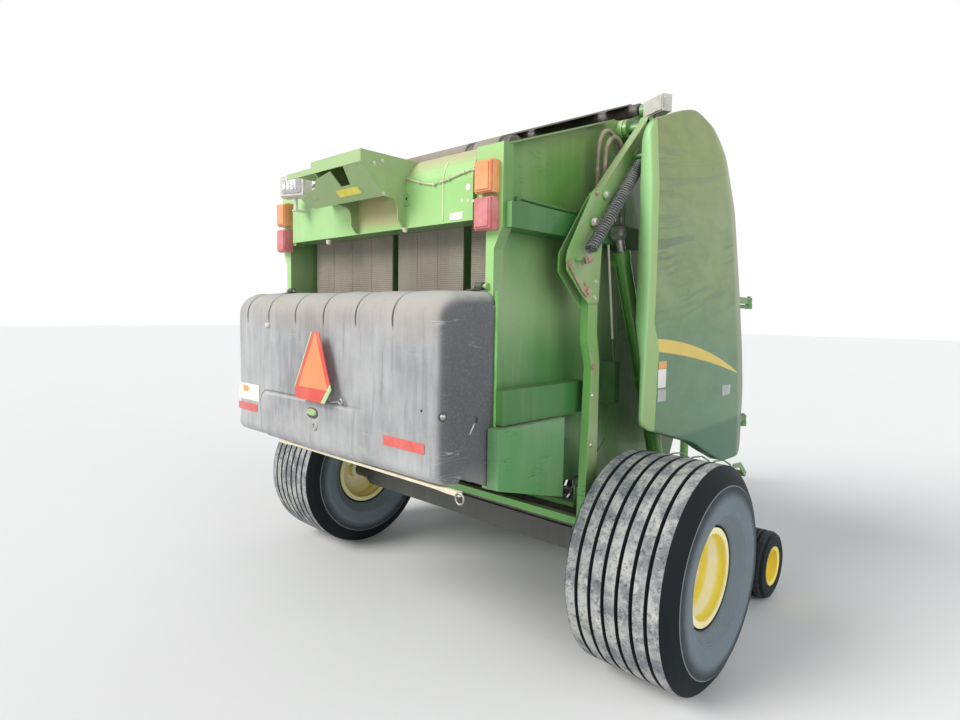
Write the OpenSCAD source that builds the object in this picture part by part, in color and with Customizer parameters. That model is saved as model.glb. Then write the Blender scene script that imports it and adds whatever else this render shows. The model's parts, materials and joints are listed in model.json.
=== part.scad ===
// Round baler with variable belt chamber: net cover on a top-hinged rear gate,
// sprung rear arms with a discharge roller, swinging side shields, tined pickup,
// two ribbed implement tyres and an A-frame drawbar resting on its jack.
// Sizes are laid out from the axle: y = 0 above it, +y forward, +x the right side.

/* [Wheels] */
// Width over the tyres
overall_w = 3112; // [3000:4:3200]
// Tyre radius
tyre_r = 512; // [480:1:530]
// Tyre width
tyre_w = 546; // [480:2:560]
// Radius of the rim flange
rim_r = 224; // [215:1:235]
// Number of ribs round the tread
tread_ribs = 7; // [5:2:9]

/* [Chamber] */
// Inside width between the side sheets
chamber_w = 1580; // [1500:10:1620]
// Thickness of the side sheets
sheet_t = 10; // [8:1:12]
// Forward place of the gate hinge
hinge_y = 280; // [260:5:300]
// Height of the gate hinge
hinge_z = 2660; // [2640:5:2690]
// Radius of the gate hinge pin
hinge_pin_r = 25; // [20:1:28]
// Gap between gate and frame along their parting line
part_gap = 12; // [8:1:20]

/* [Gate] */
// Rear face of the posts, behind the axle
gate_rear = 760; // [740:5:780]
// Height of the gate's top edge at the rear
gate_top_rear = 2377; // [2340:1:2400]
// Outer face of the upper side beam
upper_beam_x = 912; // [890:1:915]
// Outer face of the lower side beam
lower_beam_x = 892; // [870:1:905]
// Inner face of the rear arms
arm_x = 930; // [922:1:940]
// Thickness of the rear arms
arm_t = 45; // [35:1:50]
// Radius of the discharge roller
roller_r = 45; // [35:1:50]
// Mean radius of the arm spring's coils
spring_r = 27; // [22:1:28]
// Turns in each arm spring
spring_turns = 28; // [20:1:30]

/* [Net cover] */
// Half width of the net cover
cover_hw = 854; // [830:2:870]
// Rear face of the net cover, behind the axle
cover_rear = 1073; // [1040:1:1100]
// Top of the net cover
cover_top = 1775; // [1760:1:1800]
// Wall of the net cover
cover_t = 5; // [4:1:8]

/* [Side shields] */
// Outer face of the side shields
shield_x = 1162; // [1150:2:1180]
// Depth of the shields' folded edge
shield_d = 72; // [60:1:75]
// Wall of the side shields
shield_t = 4; // [3:1:6]
// Forward place of the shields' hinge line
shield_hinge_y = 1340; // [1330:5:1360]

/* [Pickup] */
// Forward place of the tine reel
reel_y = 1310; // [1300:5:1330]
// Height of the tine reel
reel_z = 400; // [395:1:420]
// Radius to the tine tips
tine_r = 285; // [275:1:290]
// Spacing of the tines across the pickup
tine_pitch = 78; // [74:1:82]
// Tines on each bar
tine_count = 26; // [20:2:26]
// Half width between the pickup's end plates
pickup_hw = 1090; // [1080:2:1100]
// Radius of the gauge wheels
gauge_r = 200; // [190:1:205]

/* [Drawbar] */
// Centre of the hitch pin ahead of the axle
hitch_y = 3290; // [3200:10:3350]
// Height of the hitch pin plates
hitch_z = 500; // [460:5:520]
// Bore for the tractor's drawbar pin
hitch_bore = 33; // [30:1:40]

/* [Hidden] */
$fn = 48;
run_gap = 0.3;
bore_gap = 0.1;
green = "#4e7d33";
lime = "#7fa64a";
yellow = "#d9b52c";
black = "#2a2b2a";
grey = "#55585a";
steel = "#8d9092";

axle_z = tyre_r;
sheet_x = chamber_w / 2;
sheet_out = sheet_x + sheet_t;
// the outer parts move out with the side sheets: their sizes are given for sheets at this place
usual_out = 800;
spread = sheet_out - usual_out;
beam_top = upper_beam_x + spread;
beam_low = lower_beam_x + spread;
arm_in = arm_x + spread;
arm_out = arm_in + arm_t;
shield_out = shield_x + spread;
cover_x = cover_hw + spread;
wheel_x = overall_w / 2 - tyre_w / 2 + spread;
front_end = hitch_y + 60;
rear_end = -cover_rear - 47;
mid_y = (front_end + rear_end) / 2;

function unit2(v) = v / norm(v);
function arc(c, r, a0, a1, n) =
    [for (i = [0:n]) c + r * [cos(a0 + (a1 - a0) * i / n), sin(a0 + (a1 - a0) * i / n)]];
function turn_at(p, i) = unit2(p[min(i + 1, len(p) - 1)] - p[max(i - 1, 0)]);
function side_at(p, i, w) = let(d = turn_at(p, i)) p[i] + w * [-d.y, d.x];
// strip of width w whose middle follows the points p
function ribbon(p, w) = concat(
    [for (i = [0:len(p) - 1]) side_at(p, i, w / 2)],
    [for (i = [len(p) - 1:-1:0]) side_at(p, i, -w / 2)]);

// outline given as (y, z), extruded along x from x0
module plate_x(points, x0, t) translate([x0, 0, 0]) rotate([90, 0, 90]) linear_extrude(t) polygon(points);
// outline given as (x, z), extruded along y from y0
module plate_y(points, y0, t) translate([0, y0 + t, 0]) rotate([90, 0, 0]) linear_extrude(t) polygon(points);
module rod_x(p, r, x0, x1) translate([x0, p.x, p.y]) rotate([0, 90, 0]) cylinder(r = r, h = x1 - x0);
module box(x0, x1, y0, y1, z0, z1) translate([x0, y0, z0]) cube([x1 - x0, y1 - y0, z1 - z0]);
module both() {
    children();
    mirror([1, 0, 0]) children();
}
module placed() translate([0, -mid_y, 0]) children();
module placed_left() translate([0, -mid_y, 0]) mirror([1, 0, 0]) children();
// square tube or bar of width w and height h from point a to point b
module strut(a, b, w, h) {
    v = b - a;
    len_v = norm(v);
    translate(a) rotate([0, -asin(v.z / len_v), atan2(v.y, v.x)])
        translate([0, -w / 2, -h / 2]) cube([len_v, w, h]);
}
module round_bar(a, b, r) {
    v = b - a;
    len_v = norm(v);
    translate(a) rotate([0, acos(v.z / len_v), atan2(v.y, v.x)]) cylinder(r = r, h = len_v);
}

// Wheels
tread_r = tyre_r - 12;
groove_w = 26;
function tread(i) = let(pitch = (tyre_w - 90) / tread_ribs, a = -(tyre_w - 90) / 2 + i * pitch)
    [[tread_r, a], [tyre_r - 3 * pow(2 * (i + 0.1) / tread_ribs - 1, 2), a + groove_w * 0.3],
     [tyre_r - 3 * pow(2 * (i + 0.9) / tread_ribs - 1, 2), a + pitch - groove_w * 0.3], [tread_r, a + pitch]];
tyre_outline = concat(
    [[rim_r - 19.2, -tyre_w / 2 + 88], [rim_r + 2, -tyre_w / 2 + 74], [rim_r + 22, -tyre_w / 2 + 50],
     [rim_r + 70, -tyre_w / 2 + 12], [rim_r + 130, -tyre_w / 2], [tyre_r - 90, -tyre_w / 2 + 6],
     [tyre_r - 45, -tyre_w / 2 + 24]],
    [for (i = [0:tread_ribs - 1]) for (p = tread(i)) p],
    [[tyre_r - 45, tyre_w / 2 - 24], [tyre_r - 90, tyre_w / 2 - 6], [rim_r + 130, tyre_w / 2],
     [rim_r + 70, tyre_w / 2 - 12], [rim_r + 22, tyre_w / 2 - 50], [rim_r + 2, tyre_w / 2 - 74],
     [rim_r - 19.2, tyre_w / 2 - 88],
     [rim_r - 19.2, tyre_w / 2 - 112], [rim_r + 70, tyre_w / 2 - 42], [tyre_r - 90, tyre_w / 2 - 34],
     [tyre_r - 40, tyre_w / 2 - 80], [tyre_r - 40, -tyre_w / 2 + 80], [tyre_r - 90, -tyre_w / 2 + 34],
     [rim_r + 70, -tyre_w / 2 + 42], [rim_r - 19.2, -tyre_w / 2 + 112]]);
module tyre() color(black) translate([wheel_x, 0, axle_z]) rotate([0, 90, 0])
    rotate_extrude($fn = 60) polygon(tyre_outline);

rim_hw = tyre_w / 2 - 64;
barrel_r = rim_r - 19.5;
dish_x = -78;
hub_r = 74;
spindle_r = 34;
module rim() color(yellow) translate([wheel_x, 0, axle_z]) rotate([0, 90, 0]) difference() {
    union() {
        rotate_extrude($fn = 60) polygon([[barrel_r, -rim_hw + 9], [rim_r, -rim_hw + 9], [rim_r, -rim_hw],
            [barrel_r - 8, -rim_hw], [barrel_r - 8, dish_x - 12], [150, dish_x - 12], [hub_r, dish_x + 22],
            [hub_r, dish_x + 34], [154, dish_x], [barrel_r - 8, dish_x],
            [barrel_r - 8, rim_hw], [rim_r, rim_hw], [rim_r, rim_hw - 9], [barrel_r, rim_hw - 9]]);
        translate([0, 0, dish_x - 60]) cylinder(r = hub_r, h = 120);
        translate([0, 0, dish_x + 60]) cylinder(r = 48, h = 55);
        for (a = [0:45:315]) rotate(a) translate([60, 0, dish_x + 59]) cylinder(r = 9, h = 16, $fn = 6);
    }
    translate([0, 0, dish_x - 61]) cylinder(r = spindle_r + bore_gap, h = 121);
}

// Axle under the chamber with a spindle at each end
axle_h = 120;
axle_x = sheet_out + 160;
module axle() color(green) {
    box(-axle_x, axle_x, -axle_h / 2, axle_h / 2, axle_z - axle_h / 2, axle_z + axle_h / 2);
    both() rod_x([0, axle_z], 70, axle_x, axle_x + 25);
    both() rod_x([0, axle_z], 48, axle_x + 25, wheel_x + dish_x - 62);
    both() rod_x([0, axle_z], spindle_r, wheel_x + dish_x - 62, wheel_x + dish_x + 40);
}

// Front half of the chamber: two side sheets, cross tubes, brackets and hinge pins
front_line = concat(arc([560, 2455], 400, 80, 12, 8), [[1060, 2180], [1130, 1850], [1160, 1600], [1150, 1350],
    [1125, 1160]]);
front_edge = [for (i = [len(front_line) - 1:-1:0]) side_at(front_line, i, 14)];
gate_edge = [[hinge_y + 55, hinge_z - 100], [345, 1900], [210, 1010], [20, 860]];
frame_edge = [for (p = gate_edge) p + [part_gap, 0]];
frame_outline = concat([[560, 2855], [470, 2790], [hinge_y + 55 + part_gap, 2738]], frame_edge,
    [[-60, 800], [-60, axle_z + axle_h / 2], [95, axle_z + axle_h / 2], [430, 640], [930, 640],
     [1110, 1000]], front_edge);
pickup_pivot = [850, 620];
cyl_base = [574, 760];
cyl_top = [25, 2085];
cyl_x = sheet_out + 155;
cyl_r = 36;
rod_r = 22;
shield_hinge_x = shield_out - 30;
shield_hinge_z = [1000, 1750];
module frame_side() {
    plate_x(frame_outline, sheet_x, sheet_t);
    // folded lip along the front edge
    plate_x(ribbon([for (i = [0:len(front_line) - 1]) side_at(front_line, i, 9)], 8), sheet_out, 45);
    // bearing of the belt drive roller
    rod_x(roll_drive, 38, sheet_out, sheet_out + 45);
}
module main_frame() color(green) {
    both() frame_side();
    box(-sheet_x, sheet_x, 500, 580, 2560, 2650);
    box(-sheet_x, sheet_x, 1000, 1100, 1020, 1140);
    box(-sheet_x, sheet_x, 1000, 1060, 1880, 1960);
    rod_x([470, 700], 35, -sheet_x, sheet_x);
}

// Brackets bolted outside the side sheets: gate hinge lug, cylinder base, pickup pivot, axle gusset
lug_line = concat([[560, 2560], [560, 2730], [400, 2730]], arc([hinge_y, hinge_z], 55, 90, 270, 10));
bracket_x = sheet_out + run_gap;
lug_x = sheet_out + 36;
module side_brackets() color(green) both() {
    box(bracket_x, lug_x, 400, 560, 2560, 2730);
    plate_x(lug_line, lug_x, 20);
    rod_x([hinge_y, hinge_z], hinge_pin_r, sheet_x - 4, arm_out + 12);
    box(bracket_x, sheet_out + 40, 530, 640, 700, 820);
    rod_x(cyl_base, 20, sheet_out + 40, cyl_x + 32);
    box(bracket_x, lift_x - 10, 805, 895, 575, 760);
    rod_x(pickup_pivot, 20, lift_x - 10, lift_x + 30);
    box(bracket_x, sheet_out + 60, -55, 55, axle_z + axle_h / 2, 790);
    box(bracket_x, sheet_out + 60, 55, 600, 640, 690);
}
// Upright channels that carry the shield hinges
module shield_posts() color(green) both() {
    box(bracket_x, sheet_out + 60, 1010, 1070, 980, 1990);
    for (z = shield_hinge_z) {
        strut([sheet_out + 30, 1045, z], [shield_hinge_x, shield_hinge_y, z], 30, 24);
        translate([shield_hinge_x, shield_hinge_y, z - 15]) cylinder(r = 22, h = 30);
        translate([shield_hinge_x, shield_hinge_y, z]) cylinder(r = 10, h = 65);
    }
}

// Drawbar: two rails that meet at the hitch, with two cross pieces
rail_rear = [400, 1100, 1080];
rail_front = [62, hitch_y - 245, 592];
rest_y = hitch_y - 410;
function on_rail(t) = rail_rear + t * (rail_front - rail_rear);
module drawbar() color(green) difference() {
    union() {
        both() strut(rail_rear + [0, -10, 0], rail_front, 70, 120);
        box(-470, 470, 1100, 1112, 1020, 1140);
        for (t = [0.3, 0.62]) let(p = on_rail(t)) box(-p.x, p.x, p.y - 40, p.y + 40, p.z - 35, p.z + 35);
        box(-60, 60, hitch_y - 330, hitch_y - 220, 560, 640);
        // shaft rest
        box(-96, 96, rest_y - 8, rest_y + 8, 650, 700);
        box(-30, 30, rest_y - 8, rest_y + 8, 690, 875);
        // jack socket
        box(170, jack_p.x + 50, jack_p.y - 45, jack_p.y + 45, 700, 800);
    }
    box(-900, 900, 900, 1100, 900, 1300);
    along_shaft(0) cylinder(r = 42 + run_gap, h = shaft_len);
    translate([jack_p.x, jack_p.y, 600]) cylinder(r = jack_r + run_gap, h = 300);
}
module hitch_clevis() color(green) difference() {
    union() {
        for (z = [hitch_z - 42, hitch_z + 22]) {
            translate([0, hitch_y, z]) cylinder(r = 60, h = 20);
            box(-60, 60, hitch_y - 220, hitch_y, z, z + 20);
        }
        box(-60, 60, hitch_y - 220, hitch_y - 130, hitch_z - 42, 640);
    }
    translate([0, hitch_y, hitch_z - 50]) cylinder(r = hitch_bore / 2, h = 100);
}

// Gearbox with its input stub, and the telescopic shaft with its guard
gearbox_y = 1112;
shaft_a = [0, 1420, 1060];
shaft_b = [0, hitch_y - 170, 860];
shaft_dir = unit2(shaft_b - shaft_a);
shaft_len = norm(shaft_b - shaft_a);
module along_shaft(d) translate(shaft_a + d * shaft_dir)
    rotate([0, acos(shaft_dir.z), 90]) children();
module gearbox() color(green) {
    box(-120, 120, gearbox_y, gearbox_y + 200, 960, 1150);
    translate([0, gearbox_y + 200, 1060]) rotate([-90, 0, 0]) cylinder(r = 70, h = 40);
    translate([0, gearbox_y + 100, 1150]) cylinder(r = 60, h = 25);
    both() rod_x([gearbox_y + 100, 1060], 55, 120, 170);
    along_shaft(-140) cylinder(r = 22, h = 140 - 28 - run_gap);
}
yoke_l = 130;
module yoke() {
    difference() {
        cylinder(r = 46, h = yoke_l);
        translate([-60, -26, -1]) cube([120, 52, 70]);
    }
    translate([0, 0, 30]) rotate([90, 0, 0]) cylinder(r = 13, h = 100, center = true);
    translate([0, 0, 30]) rotate([0, 90, 0]) cylinder(r = 13, h = 56, center = true);
}
module pto_shaft() color(steel) difference() {
    union() {
        along_shaft(-28) yoke();
        along_shaft(60) cylinder(r = 24, h = shaft_len - 120);
        along_shaft(shaft_len + 28) rotate([180, 0, 0]) yoke();
        along_shaft(shaft_len - 20) cylinder(r = 34, h = 110);
    }
    along_shaft(shaft_len + 30) cylinder(r = 17.5, h = 90);
}
module pto_guard() color(black) difference() {
    union() {
        along_shaft(150) cylinder(r = 36, h = shaft_len - 300);
        along_shaft(128) cylinder(r = 62, h = 60);
        along_shaft(shaft_len - 188) cylinder(r = 62, h = 60);
        along_shaft(shaft_len / 2) cylinder(r = 42, h = shaft_len / 2 - 160);
    }
    along_shaft(100) cylinder(r = 24 + run_gap, h = shaft_len);
    along_shaft(120) cylinder(r = 56, h = 52);
    along_shaft(shaft_len - 172) cylinder(r = 56, h = 60);
}

// Parking jack on the right rail
jack_p = [290, 2360];
jack_r = 34;
leg_r = 27;
module jack_tube() color(green) {
    difference() {
        translate([jack_p.x, jack_p.y, 330]) cylinder(r = jack_r, h = 720);
        translate([jack_p.x, jack_p.y, 329]) cylinder(r = leg_r + run_gap, h = 560);
    }
    translate([jack_p.x, jack_p.y, 1050]) cylinder(r = 12, h = 30);
    box(jack_p.x - 10, jack_p.x + 130, jack_p.y - 10, jack_p.y + 10, 1080, 1092);
    translate([jack_p.x + 120, jack_p.y, 1092]) cylinder(r = 11, h = 90);
}
module jack_leg() color(steel) {
    translate([jack_p.x, jack_p.y, 12]) cylinder(r = leg_r, h = 800);
    box(jack_p.x - 80, jack_p.x + 80, jack_p.y - 80, jack_p.y + 80, 0, 12);
}

// Curved sheet that closes the front of the chamber
module front_cover() color(green) {
    plate_x(ribbon(front_line, 8), -sheet_x + run_gap, chamber_w - 2 * run_gap);
    for (x = [-520, 0, 520])
        plate_x(ribbon([for (i = [8:len(front_line) - 1]) front_line[i] + [14, 0]], 20), x - 20, 40);
}

starter_p = [790, 900];
floor_p = [330, 800];
module ribbed_roller(p, r, ribs) {
    rod_x(p, r, -sheet_x + 12, sheet_x - 12);
    both() rod_x(p, 24, sheet_x - 12, sheet_x - run_gap);
    for (i = [0:ribs - 1]) let(a = i * 360 / ribs)
        translate([-sheet_x + 14, p.x, p.y]) rotate([a, 0, 0]) translate([0, -5, r - 4])
            cube([chamber_w - 28, 10, 12]);
}
module starter_roller() color(grey) ribbed_roller(starter_p, 105, 6);
module floor_roller() color(grey) ribbed_roller(floor_p, 95, 6);

// Pickup: end plates, rear tube and pan, arms back to the pivot
reel_p = [reel_y, reel_z];
pan_line = [[1130, 655], [1060, 640], [950, 590]];
lift_x = sheet_out + 78;
tube_p = [998, 306];
module pickup_frame() color(green) {
    both() {
        difference() {
            plate_x(concat(arc(reel_p, 245, -100, 100, 20),
                [[1090, 668], [970, 610], [950, 300], [1010, 245]]), pickup_hw, 6);
            rod_x(reel_p, 20 + bore_gap, pickup_hw - 1, pickup_hw + 7);
        }
        rod_x(reel_p, 34, pickup_hw + 6, pickup_hw + 26);
        difference() {
            plate_x(ribbon([tube_p, [968, 470], pickup_pivot], 60), lift_x, 20);
            rod_x(pickup_pivot, 20 + bore_gap, lift_x - 8, lift_x + 22);
        }
        difference() {
            rod_x(pickup_pivot, 40, lift_x, lift_x + 20);
            rod_x(pickup_pivot, 20 + bore_gap, lift_x - 8, lift_x + 22);
        }
    }
    rod_x(tube_p, 30, -pickup_hw, pickup_hw);
    plate_x(ribbon(pan_line, 6), -pickup_hw, 2 * pickup_hw);
}
band_r = 248;
band_line = concat([[980, 278.9], [1100, 232.6]], arc(reel_p, band_r, -132, 104, 22),
    [[1180, 648], [1140, 651]]);
module stripper_bands() color(grey) {
    for (i = [0:tine_count - 2]) let(x = (i + 1 - tine_count / 2) * tine_pitch)
        plate_x(ribbon(band_line, 3), x - tine_pitch * 0.36, tine_pitch * 0.72);
    // strip that the bands' upper ends are fixed to
    box(-pickup_hw + 20, pickup_hw - 20, 1134, 1160, 643, 649);
}
bar_ring = 150;
bar_r = 15;
tine_shape = [[bar_ring, -5], [bar_ring + 60, -9], [tine_r, -34], [tine_r - 3, -26], [bar_ring + 60, -1],
    [bar_ring, 5]];
module tine_reel() color(steel) translate([0, reel_y, reel_z]) {
    rod_x([0, 0], 30, -pickup_hw + 14, pickup_hw - 14);
    both() rod_x([0, 0], 20, pickup_hw - 14, pickup_hw + 5.7);
    for (x = [-pickup_hw + 20, -tine_pitch * 0.5 + 5, pickup_hw - 28])
        rod_x([0, 0], bar_ring + bar_r + 4, x, x + 8);
    for (k = [0:3]) rotate([k * 90 + 20, 0, 0]) {
        rod_x([bar_ring, 0], bar_r, -pickup_hw + 20, pickup_hw - 20);
        for (i = [0:tine_count - 1]) let(x = (i + 0.5 - tine_count / 2) * tine_pitch)
            plate_x(tine_shape, x - 3.5, 7);
    }
}
guard_p = [1640, 600];
module wind_guard() color(green) {
    rod_x(guard_p, 20, -pickup_hw + 30, pickup_hw - 30);
    both() plate_x(ribbon([[1340, 600], [1430, 690], [1540, 680], guard_p], 36), pickup_hw - 36, 8);
    both() rod_x([1345, 605], 18, pickup_hw - 36, pickup_hw - run_gap);
    for (i = [0:13]) let(x = (i - 6.5) * 150)
        plate_x(ribbon([guard_p, [1580, 660], [1460, 710], [1320, 728], [1200, 720]], 9), x - 4.5, 9);
}

// Gauge wheels outside the pickup
gauge_p = [1140, gauge_r];
gauge_w = 165;
gauge_x = pickup_hw + 170;
module gauge_arms() color(green) both() {
    plate_x(ribbon([[1040, 470], [1120, 380], gauge_p], 50), pickup_hw + 34, 14);
    rod_x([1050, 460], 24, pickup_hw + 6, pickup_hw + 34);
    rod_x(gauge_p, 16, pickup_hw + 48, gauge_x + 110);
}
module gauge_tyre() color(black) translate([gauge_x, gauge_p.x, gauge_p.y]) rotate([0, 90, 0])
    rotate_extrude($fn = 48) polygon([[108, 20], [120, 8], [160, 0], [gauge_r - 12, 12], [gauge_r, 34],
        [gauge_r - 1, 62], [gauge_r - 9, 66], [gauge_r - 9, 74], [gauge_r, 78], [gauge_r, gauge_w - 78],
        [gauge_r - 9, gauge_w - 74], [gauge_r - 9, gauge_w - 66], [gauge_r - 1, gauge_w - 62],
        [gauge_r, gauge_w - 34], [gauge_r - 12, gauge_w - 12], [160, gauge_w], [120, gauge_w - 8],
        [108, gauge_w - 20]]);
module gauge_rim() color(yellow) translate([gauge_x, gauge_p.x, gauge_p.y]) rotate([0, 90, 0])
    rotate_extrude($fn = 48) polygon([[16 + bore_gap, 8], [34, 8], [34, 62], [94, 70], [94, 12], [116, 6],
        [116, 10], [106, 20], [107.7, 24], [107.7, gauge_w - 24], [106, gauge_w - 20], [116, gauge_w - 10],
        [116, gauge_w - 6], [94, gauge_w - 12], [94, 80], [34, 74], [34, 96], [16 + bore_gap, 96]]);

// Side shields: one shallow pressed door a side, folded in along every edge
function shield_line(e) = concat(
    [[-104 + e, 1178 + e], [-104 + e, 2480 - e]],
    arc([-44, 2510], 60 - e, 170, 115, 3),
    [[17, 2607 - e], [301, 2709 - e]],
    arc([500, 2678], 82 - e, 105, 75, 3),
    [[760 - e * 0.5, 2690 - e]],
    arc([700, 2540], 182 - e, 60, 12, 4),
    [[956 - e, 2275], [1076 - e, 1785], [1223 - e, 1300], [1266 - e, 960]],
    arc([1180, 905], 84 - e, -10, -96, 6),
    [[951, 831 + e], [700, 925 + e], [466, 1018 + e], [200, 1100 + e]]);
// section across the machine: an upright side with a leaning shoulder
function shield_section(e) = [[shield_out - shield_d - 1, 700], [shield_out - 14 - e, 700],
    [shield_out - e, 1500], [shield_out - e, 2250], [shield_out - 22 - e, 2600], [shield_out - 50 - e, 2800],
    [shield_out - shield_d - 1, 2800]];
module shield_block(e, x0) intersection() {
    plate_x(shield_line(e), x0, shield_d + 40);
    plate_y(shield_section(e), -200, 1600);
}
module side_shield() color(green) {
    difference() {
        shield_block(0, shield_out - shield_d);
        shield_block(shield_t, shield_out - shield_d - 10);
    }
    for (z = shield_hinge_z) difference() {
        union() {
            translate([shield_hinge_x, shield_hinge_y, z + 16]) cylinder(r = 20, h = 40);
            box(shield_hinge_x - 8, shield_hinge_x + 8, 1215 - (z - 1000) * 0.22, shield_hinge_y,
                z + 16, z + 56);
        }
        translate([shield_hinge_x, shield_hinge_y, z + 10]) cylinder(r = 10 + bore_gap, h = 60);
    }
}

// Gate: side sheets, beams, posts and the rear crossmember
gate_outline = concat([[-gate_rear + 20, gate_top_rear], [-355, 2510], [46, 2651], [190, 2700]],
    arc([hinge_y, hinge_z], 55, 100, 0, 8), gate_edge, [[-345, 830], [-gate_rear, 950]]);
elbow_a = [-255, 2103];
elbow_b = [-160, 2239];
post_y = -gate_rear;
cross_hw = sheet_x - 60;
post_x = sheet_out + 80;
cross_z = 2074;
post_gap = 700 - run_gap;
cover_hinge = [-768, cover_top + 20];
cover_pin_r = 8;
lug_r = 13;
module gate_side() {
    difference() {
        union() {
            plate_x(gate_outline, sheet_x, sheet_t);
            rod_x([hinge_y, hinge_z], 55, sheet_x, sheet_out + 32);
        }
        rod_x([hinge_y, hinge_z], hinge_pin_r + bore_gap, sheet_x - 5, sheet_out + 40);
    }
    // folded lip along the top edge
    plate_x(ribbon([[-gate_rear + 20, gate_top_rear - 4], [-355, 2506], [46, 2647], [110, 2670]], 8),
        sheet_out, 62);
    plate_y([[sheet_x, 930], [sheet_x + 45, 930], [sheet_x + 45, 1950], [post_x, 2040],
        [post_x, gate_top_rear], [cross_hw, gate_top_rear], [cross_hw, 2060], [sheet_x, 2060]], post_y, 60);
    // lug and pin of the net cover's hinge
    box(sheet_out, sheet_out + 12, cover_hinge.x, post_y + 5, cover_hinge.y - lug_r, cover_hinge.y + lug_r);
    rod_x(cover_hinge, lug_r, sheet_out, sheet_out + 12);
    rod_x(cover_hinge, cover_pin_r, sheet_x - 54, sheet_out + 5);
}
// Beams along the gate's sides, and the boxed corners that the lower ones end in
tie_x = sheet_out + 68;
module side_beams() color(green) {
    both() {
        box(bracket_x, beam_top, -post_gap, 340, 2035, 2140);
        box(post_x + run_gap, beam_top, -740, -post_gap, 2035, 2140);
        rod_x(elbow_a, 34, beam_top, arm_in - 8 - run_gap);
        rod_x(cyl_top, 22, beam_top, cyl_x - 24 - run_gap);
        box(bracket_x, beam_low, -post_gap, -110, 1210, 1360);
        box(sheet_x + 45 + run_gap, beam_low, -752, -post_gap, 1210, 1360);
    }
    // tie rod along the right upper beam
    round_bar([tie_x, -655, 2168], [tie_x, -214, 2158], 8);
    for (y = [-655, -214]) box(tie_x - 8, tie_x + 8, y - 12, y + 12, 2139, 2172);
}
corner_x = sheet_out + 112;
module corner_boxes() color(green) both() difference() {
    union() {
        plate_x([[-806, 950], [-345, 830], [-345, 1205], [-806, 1205]], corner_x, 10);
        box(bracket_x, corner_x, -806, -796, 950, 1205);
        box(bracket_x, corner_x, -806, -345, 1197, 1205);
    }
    box(bracket_x - 1, cover_x + 6, -900, -post_gap, 900, 1300);
}

// rear panel rolled forward along its top
function panel_line(e) = arc([-620, 2252], 160 + e, 180, 108, 8);
module gate_frame() color(green) {
    both() gate_side();
    difference() {
        plate_x(concat([[-660, cross_z], [-780, cross_z]], panel_line(0)), -cross_hw, 2 * cross_hw);
        plate_x(concat([[-650, cross_z + 5], [-775, cross_z + 5]], panel_line(-5), [[-640, 2390]]),
            -cross_hw + 8, 2 * cross_hw - 16);
    }
    box(-sheet_x, sheet_x, -750, -690, 965, 1040);
    rod_x([-330, 2380], 30, -sheet_x, sheet_x);
}
// Wedge-shaped visor over the rear panel: stepped roof with a front lip, sloping face with an opening,
// and two bracket plates whose rear edges curve down to the panel's lower edge
visor_x = [-340, -88, 290];
visor_step = -113;
visor_top = 2393;
lip_low = [-1036, 2340];
slope_low = [-907, 2208];
slope_v = slope_low - lip_low;
visor_side = concat([[-690, visor_top], [lip_low.x, visor_top], lip_low, slope_low],
    arc([-868, 2163], 40, 90, 0, 6), [[-825, 2115], [-797, cross_z + 5], [-700, cross_z + 5]]);
// outline of the sloping face: x, and distance down the slope
slope_face = concat([[visor_x[2], 0], [visor_x[2], norm(slope_v)]],
    arc([visor_x[0] + 70, norm(slope_v) - 70], 70, 90, 180, 5),
    [[-170, 80], [visor_step, 36], [36, 12], [40, 100], [113, 100], [152, 0]]);
module rear_visor() color(lime) difference() {
    union() {
        for (x = [visor_x[1], visor_x[2] - 6]) plate_x(visor_side, x, 6);
        box(visor_step, visor_x[2], lip_low.x, -690, visor_top - 5, visor_top);
        box(visor_x[0], visor_step + 4, lip_low.x, -690, visor_top - 32, visor_top - 27);
        box(visor_step, visor_step + 5, lip_low.x, -690, visor_top - 32, visor_top);
        box(visor_x[0], visor_x[2], lip_low.x, lip_low.x + 5, lip_low.y - 2, visor_top - 28);
        box(visor_step, visor_x[2], lip_low.x, lip_low.x + 5, visor_top - 32, visor_top);
        translate([0, lip_low.x, lip_low.y]) rotate([atan2(slope_v.y, slope_v.x), 0, 0])
            linear_extrude(5) polygon(slope_face);
    }
    plate_x(concat([[-600, 2000], [-780 - run_gap, 2000]], panel_line(run_gap), [[-600, 2400]]), -900, 1800);
}

// Small sensor housing in the opening at the visor's left end
module sensor_box() color(steel) {
    box(-322, -232, -850, -780 - run_gap, 2246, 2262);
    box(-316, -238, -846, -796, 2262, 2312);
    translate([-277, -846, 2287]) rotate([90, 0, 0]) cylinder(r = 17, h = 14);
    box(-300, -254, -838, -804, 2312, 2326);
}

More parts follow.
